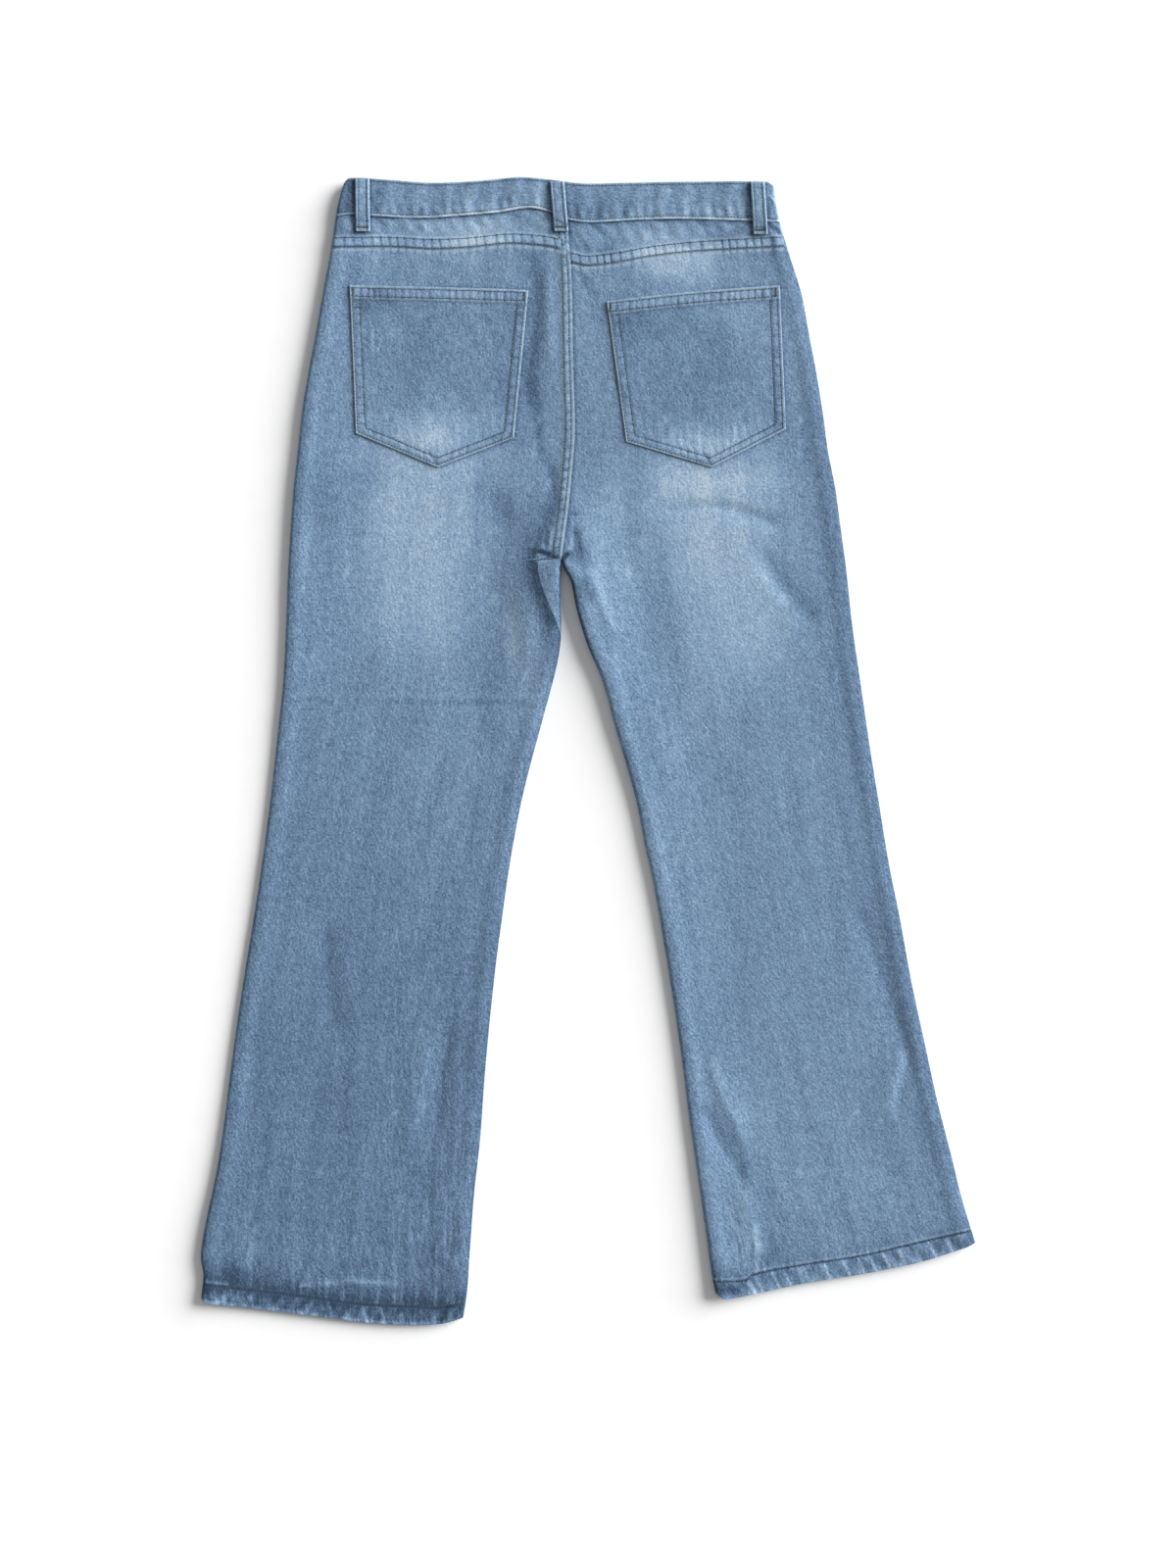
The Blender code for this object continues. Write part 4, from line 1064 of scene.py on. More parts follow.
def make_back(side, node, cut):
    """Back of one leg and half the seat, from the yoke to the hem."""
    x, y, _, above_foot = panel_points(
        side, lambda at: curve(side.yoke_rows, at) - HALF_GAP, BACK_TOP_LEVEL, back_insets,
        BACK_PITCH, BACK_STOPS, BACK_ROWS,
    )
    wall = hem_wall(side, x, y, above_foot) + SEAM_RISE * side.felled(x, y)
    item = make_cloth(
        "cloth_" + node, x, y, side.face(x, y), wall, leg_grain(side, x, y), denim("denim")
    )
    declare(item, node, *cut, ["cloth_" + node.replace("back", "front")], "denim")


def front_waist_foot(x):
    """Lower edge of the front waistband, a plain bow from side to side."""
    left, right = WAIST_FOOT[0], WAIST_FOOT[-1]
    return mix(left[1], right[1], (x - left[0]) / (right[0] - left[0])) - waist_dip(x)


def waist_dip(x):
    """How far the front of the waist lies below the back of it."""
    left, right = WAIST_FOOT[0][0], WAIST_FOOT[-1][0]
    across = 2 * (x - left) / (right - left) - 1
    return WAISTBAND_DIP * np.maximum(1.0 - across * across, 0.0)


def make_front(side, node, cut):
    """Front of one leg and half the seat, from the waistband to the hem."""
    x, y, beyond, above_foot = panel_points(
        side, lambda at: front_waist_foot(at) - HALF_GAP, FRONT_TOP_LEVEL, front_insets,
        FRONT_PITCH, FRONT_STOPS, FRONT_ROWS,
    )
    wall = hem_wall(side, x, y, above_foot)
    item = make_cloth(
        "cloth_" + node, x, y, side.front_face(x, y, beyond), wall,
        leg_grain(side, x, y), denim("denim"), face_down=True, even=not side.rolled,
    )
    declare(item, node, *cut, ["floor"], "denim")


def band_points(side, insets, foot_line, top_line, shares, middle):
    """Points between two lines that run across one half of the garment."""
    level = np.full(len(shares), BACK_TOP_LEVEL)
    columns = Columns(side, *insets(side, level), middle)
    y = np.repeat(level[:, None], len(columns.share), axis=1)
    share = np.asarray(shares)[:, None]
    for _ in range(5):
        x = columns.at(y)
        y = mix(foot_line(x), top_line(x), share)
    return columns.at(y), y


def yoke_band(side, x, y):
    """Height above a yoke's foot, width of its felled band, and 1 on that band."""
    above = y - curve(side.yoke_rows, x)
    width = size("fell_width") + 1.2
    return above, width, ramp(width + 0.9, width - 0.1, above) * ramp(0.0, 1.6, above)


def yoke_face(side, x, y):
    """Height, tone and wear of a yoke, felled along its foot."""
    above, width, felled = yoke_band(side, x, y)
    seam_height, seam_tone, seam_wear = side.seam_face(x, y)
    pucker = (0.25 - ticks(x + 0.15 * above, 8.4, 71)) * ramp(-1.0, 2.0, above) * felled
    stitches = line(above - 1.4, 1.0) + line(above - width + 0.9, 1.0)
    height = side.back(x, y) + np.maximum(SEAM_RISE * felled, seam_height)
    height = height + 0.34 * pucker - 0.26 * stitches
    below = curve(WAIST_FOOT, x) - y
    slack = ramp(width + 2.0, width + 8.0, above) * ramp(0.0, 4.0, below)
    height = height + 0.30 * ripple(x + 0.5 * y, 17.0, 73) * slack
    creased = [stroke(x, y, row, CREASE_END_REACH) for row in YOKE_CREASES]
    height = height + sum(row[5] * share for row, share in zip(YOKE_CREASES, creased))
    pressed = line(x + 118.0, 36.0) + line(x - 88.0, 52.0)
    pucker = pucker * (1.0 - 0.6 * pressed) * (1.0 + 0.5 * drift(x, 0.0 * x, 21.0, 79))
    tone = seam_tone + 0.04 + patch_sum(x, y, FADES_AND_SHADE) + 1.40 * pucker - 0.60 * stitches
    tone = tone + 0.26 * line(above - 1.4, 1.0)
    tone = tone + (0.16 + 0.26 * pressed) * felled
    tone = tone + 0.12 * ripple(x + 0.5 * y, 17.0, 73) * slack
    tone = tone + sum(row[6] * share for row, share in zip(YOKE_CREASES, creased))
    # Painted shade under the waistband and a painted shadow line right beneath its edge; painted
    # shade also at the yoke's outer side.
    tone = tone - 0.10 * ramp(7.0, 0.0, below) - loop_shade(x, y)
    tone = tone - (0.55 + 0.35 * drift(x, 0.0 * x, 12.0, 78)) * line(below, 1.6)
    tone = tone + 0.12 * drift(x, y, 13.0, 75) - 0.14 * line(side.insets(x, y)[0], 5.0)
    wear = seam_wear + 0.30 * line(above - width - 1.2, 1.1) + 0.16 * line(above - 0.2, 0.6)
    return height, tone, np.clip(wear, 0.0, 1.0)


def make_yoke(side, node, cut):
    """Yoke of one half of the back."""
    x, y = band_points(
        side,
        back_insets,
        lambda at: curve(side.yoke_rows, at) + HALF_GAP,
        lambda at: curve(WAIST_FOOT, at) - HALF_GAP,
        np.linspace(0.0, 1.0, 32) ** 1.15,
        250,
    )
    rise = np.maximum(yoke_band(side, x, y)[2], side.felled(x, y))
    item = make_cloth(
        "cloth_" + node, x, y, yoke_face(side, x, y), CLOTH + SEAM_RISE * rise,
        leg_grain(side, x, y), denim("denim_faced"),
    )
    declare(item, node, *cut, ["cloth_front_" + node.split("_")[1]], "denim_faced")


def loop_shade(x, y):
    """Shadow that the belt loops cast on the cloth beside and below them."""
    shade = 0.0
    for x_top, y_top, x_foot, y_foot in BACK_LOOPS.values():
        across = x - mix(x_foot, x_top, (y - y_foot) / (y_top - y_foot))
        beside = np.maximum(np.abs(across) - size("loop_width") / 2, y_foot - y)
        deep = np.where(across < 0.0, 0.80, 0.62)
        shade = shade + deep * line(np.maximum(beside - 0.4, 0.0), 2.1)
    return shade


def band_top(x, y):
    """Height of the back of the waistband."""
    return WAISTBAND_TOP + LEFT.plump(x, y)


def band_height(side, x, y, face):
    """Height of an outer face of the waistband, turned at the side of the waist."""
    middle = (WAISTBAND_FRONT_LIFT + band_top(x, y)) / 2
    return mix(middle, face, quarter(side.insets(x, y)[0], size("edge_radius")))


def band_face(x, y):
    """Height, tone and wear of the back of the waistband."""
    top, foot = curve(WAIST_TOP, x) - y, y - curve(WAIST_FOOT, x)
    inset = np.minimum(LEFT.insets(x, y)[0], RIGHT.insets(x, y)[0])
    low_folds = ripple(x + 0.1 * y, 10.5, 81) * ramp(19.0, 5.0, foot) * ramp(1.8, 4.2, foot)
    tall_folds = ripple(x - 0.12 * y, 23.0, 83)
    height = band_top(x, y) + 0.30 * low_folds + 0.26 * tall_folds + 0.3 * drift(x, y, 30.0, 85)
    height = height + 0.24 * drift(1.3 * x, y, 9.0, 89) + 0.10 * drift(x, y, 5.0, 84)
    height = height - 0.8 * (1.0 - quarter(top, 1.8)) - 0.35 * (1.0 - quarter(foot, 1.0))
    height = height - 0.2 * line(top - 2.2, 0.7) - 0.22 * line(foot - 3.0, 0.8)
    middle = (WAISTBAND_FRONT_LIFT + band_top(x, y)) / 2
    height = mix(middle, height, quarter(inset, size("edge_radius")))
    bars = ticks(x + 0.1 * y, 10.5, 82) * ramp(19.0, 9.0, foot) * ramp(2.0, 4.4, foot)
    tone = patch_sum(x, y, BAND_FADES) + 0.24 * low_folds + 0.16 * tall_folds - 0.46 * bars
    tone = tone + 0.16 * drift(x, y, 12.0, 87) + 0.20 * drift(1.4 * x, y, 6.0, 86)
    tone = tone - 0.24 * line(top - 2.2, 0.8) - loop_shade(x, y)
    tone = tone - 0.26 * line(foot - 3.4, 0.9) - 0.30 * line(top, 0.9)
    tone = tone + 0.78 * line(foot - 1.4, 1.7)
    wear = 0.10 * line(top - 0.9, 0.6)
    corner = stroke(x, y, (170.0, 520.0, 176.5, 513.0, 1.3), 1.0)
    height = height + 0.7 * corner
    return height, tone, np.clip(wear + 0.6 * corner, 0.0, 1.0)


def make_waistband_back(cut):
    """Waistband across the back, turned down at both sides."""
    shares = np.concatenate([[0.0, 0.012, 0.03], np.linspace(0.055, 0.945, 27), [0.97, 0.988, 1.0]])
    halves = [
        band_points(
            side, back_insets, lambda at: curve(WAIST_FOOT, at) + HALF_GAP,
            lambda at: curve(WAIST_TOP, at), shares, 180,
        )
        for side in (LEFT, RIGHT)
    ]
    x, y = (np.concatenate([left, right[:, -2::-1]], axis=1) for left, right in zip(*halves))
    inset = np.minimum(LEFT.insets(x, y)[0], RIGHT.insets(x, y)[0])
    wall = inner_wall("waistband_thickness", inset)
    item = make_cloth(
        "cloth_waistband_back", x, y, band_face(x, y), wall, (y, x), denim("denim_faced")
    )
    rests = ["cloth_waistband_front_left", "cloth_waistband_front_right"]
    declare(item, "waistband_back", *cut, rests, "denim_faced")


def make_waistband_front(side, node, cut):
    """One half of the front waistband, from the side to the closure."""
    x, y = band_points(
        side, front_insets, lambda at: front_waist_foot(at) + HALF_GAP,
        lambda at: curve(WAIST_TOP, at) - waist_dip(at), np.linspace(0.0, 1.0, 15), 60,
    )
    inset = side.insets(x, y)[0]
    wall = inner_wall("waistband_thickness", inset)
    foot = y - front_waist_foot(x)
    tone = 0.05 * drift(x, y, 11.0, 91) - 0.2 * line(foot - 2.5, 1.5)
    wear = 0.4 * line(foot - 0.6, 1.2)
    face = (band_height(side, x, y, WAISTBAND_FRONT_LIFT), tone, wear)
    item = make_cloth("cloth_" + node, x, y, face, wall, (y, x), denim("denim"), face_down=True)
    declare(item, node, *cut, ["floor"], "denim")


# ---------------------------------------------------------------------- pockets
def edge_distance(x, y, start, end):
    """Distance to the left of a straight edge that runs from start to end."""
    run_x, run_y = end[0] - start[0], end[1] - start[1]
    return ((y - start[1]) * run_x - (x - start[0]) * run_y) / np.hypot(run_x, run_y)


def pocket_insets(corners, x, y):
    """Distances inside the sides, the pointed foot and the top of a pocket."""
    top_left, top_middle, top_right, foot_right, tip, foot_left = corners
    sides = np.minimum(
        edge_distance(x, y, top_left, foot_left), edge_distance(x, y, foot_right, top_right)
    )
    foot = np.minimum(
        edge_distance(x, y, foot_left, tip), edge_distance(x, y, tip, foot_right)
    )
    return sides, foot, curve((top_left, top_middle, top_right), x) - y


def pocket_face(corners, x, y):
    """Height, tone, wear and fray of a patch pocket on its panel."""
    side = side_at(x)
    sides, foot, top = pocket_insets(corners, x, y)
    rim = np.minimum(np.minimum(sides, foot), top)
    below = top - POCKET_HEM
    hem = ramp(0.5, -0.4, below)
    by_side, by_foot = sides - POCKET_SIDE_ROW, foot - POCKET_FOOT_ROW
    border = np.maximum(ramp(0.6, -0.6, by_side), ramp(0.6, -0.6, by_foot))
    height = side.back(x, y) + LAY_GAP + CLOTH
    height = height + 0.5 * hem + 0.12 * border * (1.0 - hem)
    height = height - 0.5 * (1.0 - quarter(rim, 1.3))
    turned = np.where(sides < foot, y, x)
    pucker = 0.22 - ticks(turned, 8.8, 95)
    pucker = pucker * ramp(1.5, 4.0, rim) * ramp(11.0, 8.0, np.minimum(sides, foot))
    tick = (0.26 - ticks(x, 6.6, 97)) * hem * ramp(1.0, 3.0, top)
    stitch = np.maximum.reduce([
        line(np.minimum(sides, foot) - POCKET_EDGE_ROW, 0.9),
        line(by_side, 0.9) * ramp(0.0, 1.0, by_foot),
        line(by_foot, 0.9) * ramp(0.0, 1.0, by_side),
        line(top - POCKET_EDGE_ROW, 0.9) + line(below + 2.2, 0.9),
    ])
    height = height + 0.30 * pucker * (1.0 - hem) + 0.30 * tick - 0.26 * stitch
    height = height + 0.20 * drift(x, y, 24.0, 99) + 0.05 * drift(x, y, 7.0, 101)
    tip_x, tip_y = corners[4]
    tip_fold = stroke(x, y, (tip_x, tip_y + 2, tip_x - 9, tip_y + 15, 1.2), 1.0)
    tone = patch_sum(x, y, POCKET_FADES) - 0.06
    tone = tone + 0.46 * pucker * (1.0 - hem) + 1.10 * tick - 0.66 * stitch + 0.18 * hem
    # A painted shadow line lies just below the hem's lower edge.
    tone = tone - 0.04 * border * (1.0 - hem) - 0.42 * line(below - 1.0, 1.2)
    # Painted highlight on the rims of the pocket's left side, which faces away from the key light.
    tone = tone + 0.85 * line(sides - 1.1, 1.2) * (x < tip_x)
    tone = tone + 0.10 * drift(x + 0.7 * y, 0.35 * y, 11.0, 103) + 0.08 * drift(x, y, 30.0, 109)
    streaks = ripple(x + 0.12 * y, 9.0, 105) * ramp(46.0, 16.0, foot) * ramp(4.0, 12.0, foot)
    # The fold at the pocket's tip is dented and given painted shade.
    tone = tone + (0.05 if side is LEFT else 0.09) * streaks - 0.5 * tip_fold
    fray = patch_sum(x, y, POCKET_FRAYS)
    shade = ramp(30.0, 0.0, below) * ramp(0.0, 3.0, below)
    tone = tone - 0.16 * shade * ramp(46.0, 6.0, sides)
    height = height - 0.45 * tip_fold + (0.06 if side is LEFT else 0.10) * streaks
    rubbed = 0.70 + 0.35 * drift(x, y, 7.0, 110)
    wear = rubbed * (0.66 * line(rim - 1.1, 1.3) + 0.40 * line(below + 0.2, 1.0))
    return height, tone, np.clip(wear, 0.0, 1.0), fray


def uneven_steps(count, edge_steps):
    """Shares from 0 to 1, closer together at both ends."""
    inner = np.linspace(edge_steps[-1], 1.0 - edge_steps[-1], count)
    ends = np.array(edge_steps[:-1])
    return np.concatenate([ends, inner, 1.0 - ends[::-1]])


def make_pocket(node, cut):
    """Patch pocket laid on its panel, with a turned hem along the top."""
    corners = POCKETS[node]
    top_left, top_middle, top_right, foot_right, tip, foot_left = corners
    edge_steps = (0.0, 0.003, 0.0065, 0.012, 0.02)
    across = uneven_steps(150, edge_steps)[None, :]
    level = uneven_steps(112, edge_steps)[:, None]
    point = []
    for axis in range(2):
        sag = top_middle[axis] - (top_left[axis] + top_right[axis]) / 2
        top = mix(top_left[axis], top_right[axis], across) + sag * 4 * across * (1 - across)
        corner = np.where(across < 0.5, foot_left[axis], foot_right[axis])
        foot = mix(tip[axis], corner, abs(2 * across - 1))
        point.append(mix(foot, top, level))
    x, y = point
    hem = ramp(POCKET_HEM + 0.6, POCKET_HEM - 0.6, pocket_insets(corners, x, y)[2])
    lean = (top_left[0] - foot_left[0]) / (top_left[1] - foot_left[1]) / 2
    grain = (x - lean * y, y)
    item = make_cloth(
        "cloth_" + node, x, y, pocket_face(corners, x, y), CLOTH + 0.5 * hem, grain,
        denim("denim_trim"),
    )
    panel = "cloth_back_" + node.split("_")[1]
    declare(item, node, *cut, [panel], "denim_trim")


# ------------------------------------------------------------------- belt loops
def loop_frame(row, x, y):
    """Share of the way up a loop and distance from the line down its middle."""
    x_top, y_top, x_foot, y_foot = row
    share = (y - y_foot) / (y_top - y_foot)
    return share, x - mix(x_foot, x_top, share)


def waist_height(x, y):
    """Height of the waistband, or of the yoke below it."""
    yoke = np.where(x < LEFT.inner(y), LEFT.back(x, y), RIGHT.back(x, y)) + SEAM_RISE
    return np.where(y > curve(WAIST_FOOT, x), band_top(x, y) + 0.55, yoke)


def loop_face(row, x, y):
    """Height, tone and wear of a belt loop laid over the waistband."""
    share, across = loop_frame(row, x, y)
    half = size("loop_width") / 2
    near = [waist_height(x, y + reach) for reach in (-5.0, -2.5, 0.0, 2.5, 5.0)]
    height = np.mean(near, axis=0) + np.max(near, axis=0)
    height = height / 2 + LAY_GAP + size("loop_thickness")
    height = height + 0.9 * np.sin(pi * np.clip(share, 0.0, 1.0)) * ramp(0.0, 0.3, share)
    edge = half - np.abs(across)
    height = height - 0.55 * (1.0 - quarter(edge, 1.5)) + 0.30 * line(edge - 1.4, 1.2)
    stitch = line(edge - LOOP_ROW, 0.7)
    height = height - 0.28 * stitch - 0.5 * ramp(0.05, 0.0, share) - 0.7 * ramp(0.97, 1.0, share)
    tack = line((share - 0.075) * LOOP_LENGTH, 1.3)
    height = height - 0.3 * tack + 0.12 * ripple(y, 7.0, 107)
    tone = 0.16 - 0.60 * stitch + 0.20 * drift(x, y, 5.0, 107) + 0.10 * line(across, 2.0)
    tone = tone - 0.22 * line((share - 0.12) * LOOP_LENGTH, 0.8)
    wear = 0.34 * line(edge - 1.1, 1.2) + 0.40 * line((share - 0.03) * LOOP_LENGTH, 1.4)
    return height, tone, np.clip(wear, 0.0, 1.0)


def loop_points(row):
    """Points of a belt loop, from its lower to its upper end."""
    x_top, y_top, x_foot, y_foot = row
    share = uneven_steps(44, (0.0, 0.008, 0.02))[:, None]
    across = size("loop_width") * (uneven_steps(17, (0.0, 0.025, 0.06))[None, :] - 0.5)
    y = mix(y_foot, y_top, share) + 0.0 * across
    return mix(x_foot, x_top, share) + across, y


def make_loop(node, cut, hidden):
    """One belt loop."""
    row = (FRONT_LOOPS if hidden else BACK_LOOPS)[node]
    x, y = loop_points(row)
    face = loop_face(row, x, y)
    if hidden:
        face = (0.0 * x, face[1], face[2])
    item = make_cloth(
        "cloth_" + node, x, y, face, size("loop_thickness"),
        (loop_frame(row, x, y)[1], y), denim("denim_trim"), face_down=hidden,
    )
    declare(item, node, *cut, ["floor"] if hidden else ["cloth_waistband_back"], "denim_trim")


# ----------------------------------------------------------------------- button
def make_button(node):
    """Metal button with a raised rim and a sunk middle, under the front waistband."""
    low, high = (np.array(corner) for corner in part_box(node))
    middle, depth = (low + high) / 2, high[2] - low[2]
    radius = (high[0] - low[0]) / 2
    bpy.ops.object.select_all(action="DESELECT")
    bpy.ops.mesh.primitive_cylinder_add(
        vertices=48, radius=radius, depth=depth, location=tuple(middle)
    )
    item = bpy.context.object
    item.name = item.data.name = "metal_button"
    bpy.ops.object.transform_apply(location=True, rotation=True, scale=True)
    bpy.ops.object.mode_set(mode="EDIT")
    for inset, sink in ((0.0012, 0.0), (0.0006, 0.0005), (0.0026, 0.0), (0.0006, -0.0003)):
        shape = bmesh.from_edit_mesh(item.data)
        for face in shape.faces:
            face.select = face.normal.z < -0.9 and len(face.verts) > 8
        bmesh.update_edit_mesh(item.data)
        bpy.ops.mesh.inset(thickness=inset, depth=0.0)
        bpy.ops.transform.translate(value=(0.0, 0.0, sink))
    bpy.ops.object.mode_set(mode="OBJECT")
    rim = item.modifiers.new("rim", "BEVEL")
    rim.width = 0.00025
    rim.segments = 3
    rim.angle_limit = radians(30.0)
    bpy.ops.object.modifier_apply(modifier=rim.name)
    bpy.ops.object.shade_smooth_by_angle(angle=radians(40.0))
    item.data.materials.append(button_metal())
    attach(item, "root")
    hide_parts(node)


# ----------------------------------------------------------------------- sewing
def even_places(points, pitch):
    """Places and directions at an even pitch along a line of points."""
    points = np.array(points, float)
    total = np.concatenate([[0.0], np.cumsum(np.hypot(*np.diff(points, axis=0).T))])
    count = max(int(total[-1] // pitch), 1)
    at = (np.arange(count) + 0.5) * total[-1] / count
    place, ahead, behind = (
        np.stack([np.interp(at + step, total, points[:, axis]) for axis in range(2)], axis=-1)
        for step in (0.0, 0.6, -0.6)
    )
    run = ahead - behind
    return place, run / np.linalg.norm(run, axis=1)[:, None]


def stitch_template():
    """One stitch, a slim bead along X: its points and faces."""
    bpy.ops.object.select_all(action="DESELECT")
    bpy.ops.mesh.primitive_uv_sphere_add(segments=6, ring_count=4, radius=0.5)
    item = bpy.context.object
    points = np.array([vert.co for vert in item.data.vertices])[:, [2, 0, 1]]
    faces = [tuple(face.vertices) for face in item.data.polygons]
    bpy.data.objects.remove(item, do_unlink=True)
    points[:, 0] = np.sign(points[:, 0]) * np.abs(points[:, 0]) ** 0.8 * 0.5 ** 0.2
    return points, faces


def sew(name, runs, thread, face_down=False):
    """Stitches of one kind of seam, made one mesh.

    Each run is a line of points, the surface it is sewn on, the pitch, and the
    length, breadth and sink of a stitch, in millimetres.
    """
    points, faces = stitch_template()
    made = []
    for path, surface, pitch, length, breadth, sink in runs:
        place, run = even_places(path, pitch)
        reach = run * length * 0.3
        before = surface(*(place - reach).T)
        after = surface(*(place + reach).T)
        slope = (after - before) / (2 * length * 0.3)
        up = -1.0 if face_down else 1.0
        middle = (before + after) / 2 + up * (breadth * 0.36 - sink)
        side = np.stack([-run[:, 1], run[:, 0]], axis=-1)
        shape = points * (length, breadth, breadth * 0.8)
        flat = place[:, None, :] + run[:, None, :] * shape[None, :, :1]
        flat = flat + side[:, None, :] * shape[None, :, 1:2]
        height = middle[:, None] + slope[:, None] * shape[None, :, 0] + up * shape[None, :, 2]
        made.append(np.concatenate([flat, height[:, :, None]], axis=-1))
    made = np.concatenate(made)
    if np.isnan(made).any():
        raise RuntimeError(name + ": a stitch has no place")
    steps = np.arange(len(made)) * len(points)
    corners = [np.array(face)[None, :] + steps[:, None] for face in faces]
    mesh = bpy.data.meshes.new(name)
    every = [tuple(row) for group in corners for row in group.tolist()]
    mesh.from_pydata((made.reshape(-1, 3) * MM).tolist(), [], every)
    item = bpy.data.objects.new(name, mesh)
    bpy.context.scene.collection.objects.link(item)
    bpy.ops.object.select_all(action="DESELECT")
    item.select_set(True)
    bpy.context.view_layer.objects.active = item
    bpy.ops.object.mode_set(mode="EDIT")
    bpy.ops.mesh.select_all(action="SELECT")
    bpy.ops.mesh.normals_make_consistent(inside=False)
    bpy.ops.object.mode_set(mode="OBJECT")
    bpy.ops.object.shade_smooth()
    mesh.materials.append(thread)
    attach(item, "root")


def stitch_run(path, surface, sink=0.12):
    """A plain row of stitches along a path."""
    return (
        path, surface, size("stitch_pitch"), size("stitch_length"), size("thread"), sink
    )


def across_line(start, end, height, count=160):
    """Points of a seam that runs across the garment at a height given by x."""
    x = np.linspace(start, end, count)
    return np.stack([x, height(x)], axis=-1)


def down_line(side, inset, start, end, count=160):
    """Points of a seam that keeps one distance from an inner edge."""
    y = np.linspace(start, end, count)
    return np.stack([side.inner(y) + side.sign * inset, y], axis=-1)


def yoke_runs():
    """Two rows along the foot of each yoke."""
    runs = []
    upper = size("fell_width") + 0.3
    for side, start, end in ((LEFT, -241.0, -26.0), (RIGHT, -14.0, 186.5)):
        surface = lambda x, y, side=side: yoke_face(side, x, y)[0]
        for above in (1.3, upper):
            path = across_line(start, end, lambda x, above=above: curve(side.yoke_rows, x) + above)
            path = path[(side.insets(path[:, 0], path[:, 1])[0] > 1.5)]
            runs.append(stitch_run(path, surface))
    return runs


def centre_runs():
    """Two rows down the felled centre seam, from the waistband to the crotch."""
    runs = []
    yoke = lambda x, y: yoke_face(LEFT, x, y)[0]
    leg = lambda x, y: LEFT.face(x, y)[0]
    start = float(curve(YOKE_FOOT_LEFT, -22.0))
    for inset in (FELL_ROW, size("fell_width") - FELL_FAR_ROW):
        runs.append(stitch_run(down_line(LEFT, inset, start + 11.0, 486.0, 20), yoke))
        runs.append(stitch_run(down_line(LEFT, inset, 186.0, start - 1.5), leg))
    return runs


def hem_runs():
    """One row round the back of each hem."""
    runs = []
    for side, start, end in ((LEFT, -357.0, -114.0), (RIGHT, 121.0, 358.0)):
        surface = lambda x, y, side=side: side.face(x, y)[0]
        path = across_line(start, end, lambda x, side=side: curve(side.hem_seam_rows, x))
        runs.append(stitch_run(path, surface, 0.0))
    return runs


def band_runs():
    """Rows along the top and the foot of the waistband."""
    surface = lambda x, y: band_face(x, y)[0]
    rows = []
    for path in (
        across_line(-224.0, 170.0, lambda x: curve(WAIST_TOP, x) - 2.2),
        across_line(-233.0, 179.0, lambda x: curve(WAIST_FOOT, x) + 3.0),
    ):
        rows.append(stitch_run(path, surface))
    return rows


def front_runs():
    """Rows along the foot and top of the front waistband, on its hidden face."""
    rows = []
    for side, start, end in ((LEFT, -230.0, -21.0), (RIGHT, -17.0, 176.0)):
        surface = lambda x, y, side=side: band_height(side, x, y, WAISTBAND_FRONT_LIFT)
        for line_of in (
            lambda x: front_waist_foot(x) + 2.6,
            lambda x: curve(WAIST_TOP, x) - waist_dip(x) - 2.2,
        ):
            path = across_line(start, end, line_of)
            path = path[side.insets(path[:, 0], path[:, 1])[0] > 4.0]
            rows.append(stitch_run(path, surface))
    return rows


def offset_line(start, end, inset):
    """A straight edge moved to its left by an inset."""
    run = np.array(end) - np.array(start)
    left = np.array([-run[1], run[0]]) / np.hypot(*run)
    return np.array(start) + left * inset, run


def crossing(first, second):
    """Where two straight lines cross."""
    (start, run), (other, other_run) = first, second
    share = np.linalg.solve(np.stack([run, -other_run], axis=-1), other - start)[0]
    return start + run * share


def pocket_runs(node):
    """Rows round a pocket, along its hem and its bar tacks."""
    corners = POCKETS[node]
    top_left, top_middle, top_right, foot_right, tip, foot_left = corners
    surface = lambda x, y: pocket_face(corners, x, y)[0]
    runs = []
    for side_inset, foot_inset, top_inset in (
        (POCKET_EDGE_ROW, POCKET_EDGE_ROW, POCKET_EDGE_ROW - 1.0),
        (POCKET_SIDE_ROW, POCKET_FOOT_ROW, POCKET_HEM),
    ):
        lines = [
            offset_line(*edge) for edge in (
                (top_right, top_left, top_inset), (top_left, foot_left, side_inset),
                (foot_left, tip, foot_inset), (tip, foot_right, foot_inset),
                (foot_right, top_right, side_inset), (top_right, top_left, top_inset),
            )
        ]
        path = [crossing(first, second) for first, second in zip(lines, lines[1:])]
        runs.append(stitch_run(path, surface))
    for inset in (POCKET_EDGE_ROW, POCKET_HEM - 2.2):
        path = across_line(
            top_left[0] + 2.6, top_right[0] - 2.6,
            lambda x: curve((top_left, top_middle, top_right), x) - inset,
        )
        runs.append(stitch_run(path, surface))
    for corner, sign in ((top_left, 1.0), (top_right, -1.0)):
        for step in range(9):
            y = corner[1] - 2.6 - step * 0.9
            path = [(corner[0] + sign * inset, y) for inset in (2.4, 4.6)]
            runs.append((path, surface, 3.0, 2.6, 0.75, 0.0))
    return runs


def loop_runs(node, hidden):
    """Two rows down a belt loop and the bar tack at its lower end."""
    row = (FRONT_LOOPS if hidden else BACK_LOOPS)[node]
    x_top, y_top, x_foot, y_foot = row
    surface = lambda x, y: loop_face(row, x, y)[0] * (0.0 if hidden else 1.0)
    shift = size("loop_width") / 2 - LOOP_ROW
    runs = []
    for across in (-shift, shift):
        y = np.linspace(y_foot + 5.0, y_top - 0.8, 24)
        x = mix(x_foot, x_top, (y - y_foot) / (y_top - y_foot)) + across
        runs.append(stitch_run(np.stack([x, y], axis=-1), surface))
    for step in range(13):
        x = x_foot + (step - 6) * 0.85
        path = [(x, y_foot + 2.8), (x, y_foot + 4.9)]
        runs.append((path, surface, 2.0, 2.3, 0.75, 0.0))
    return runs


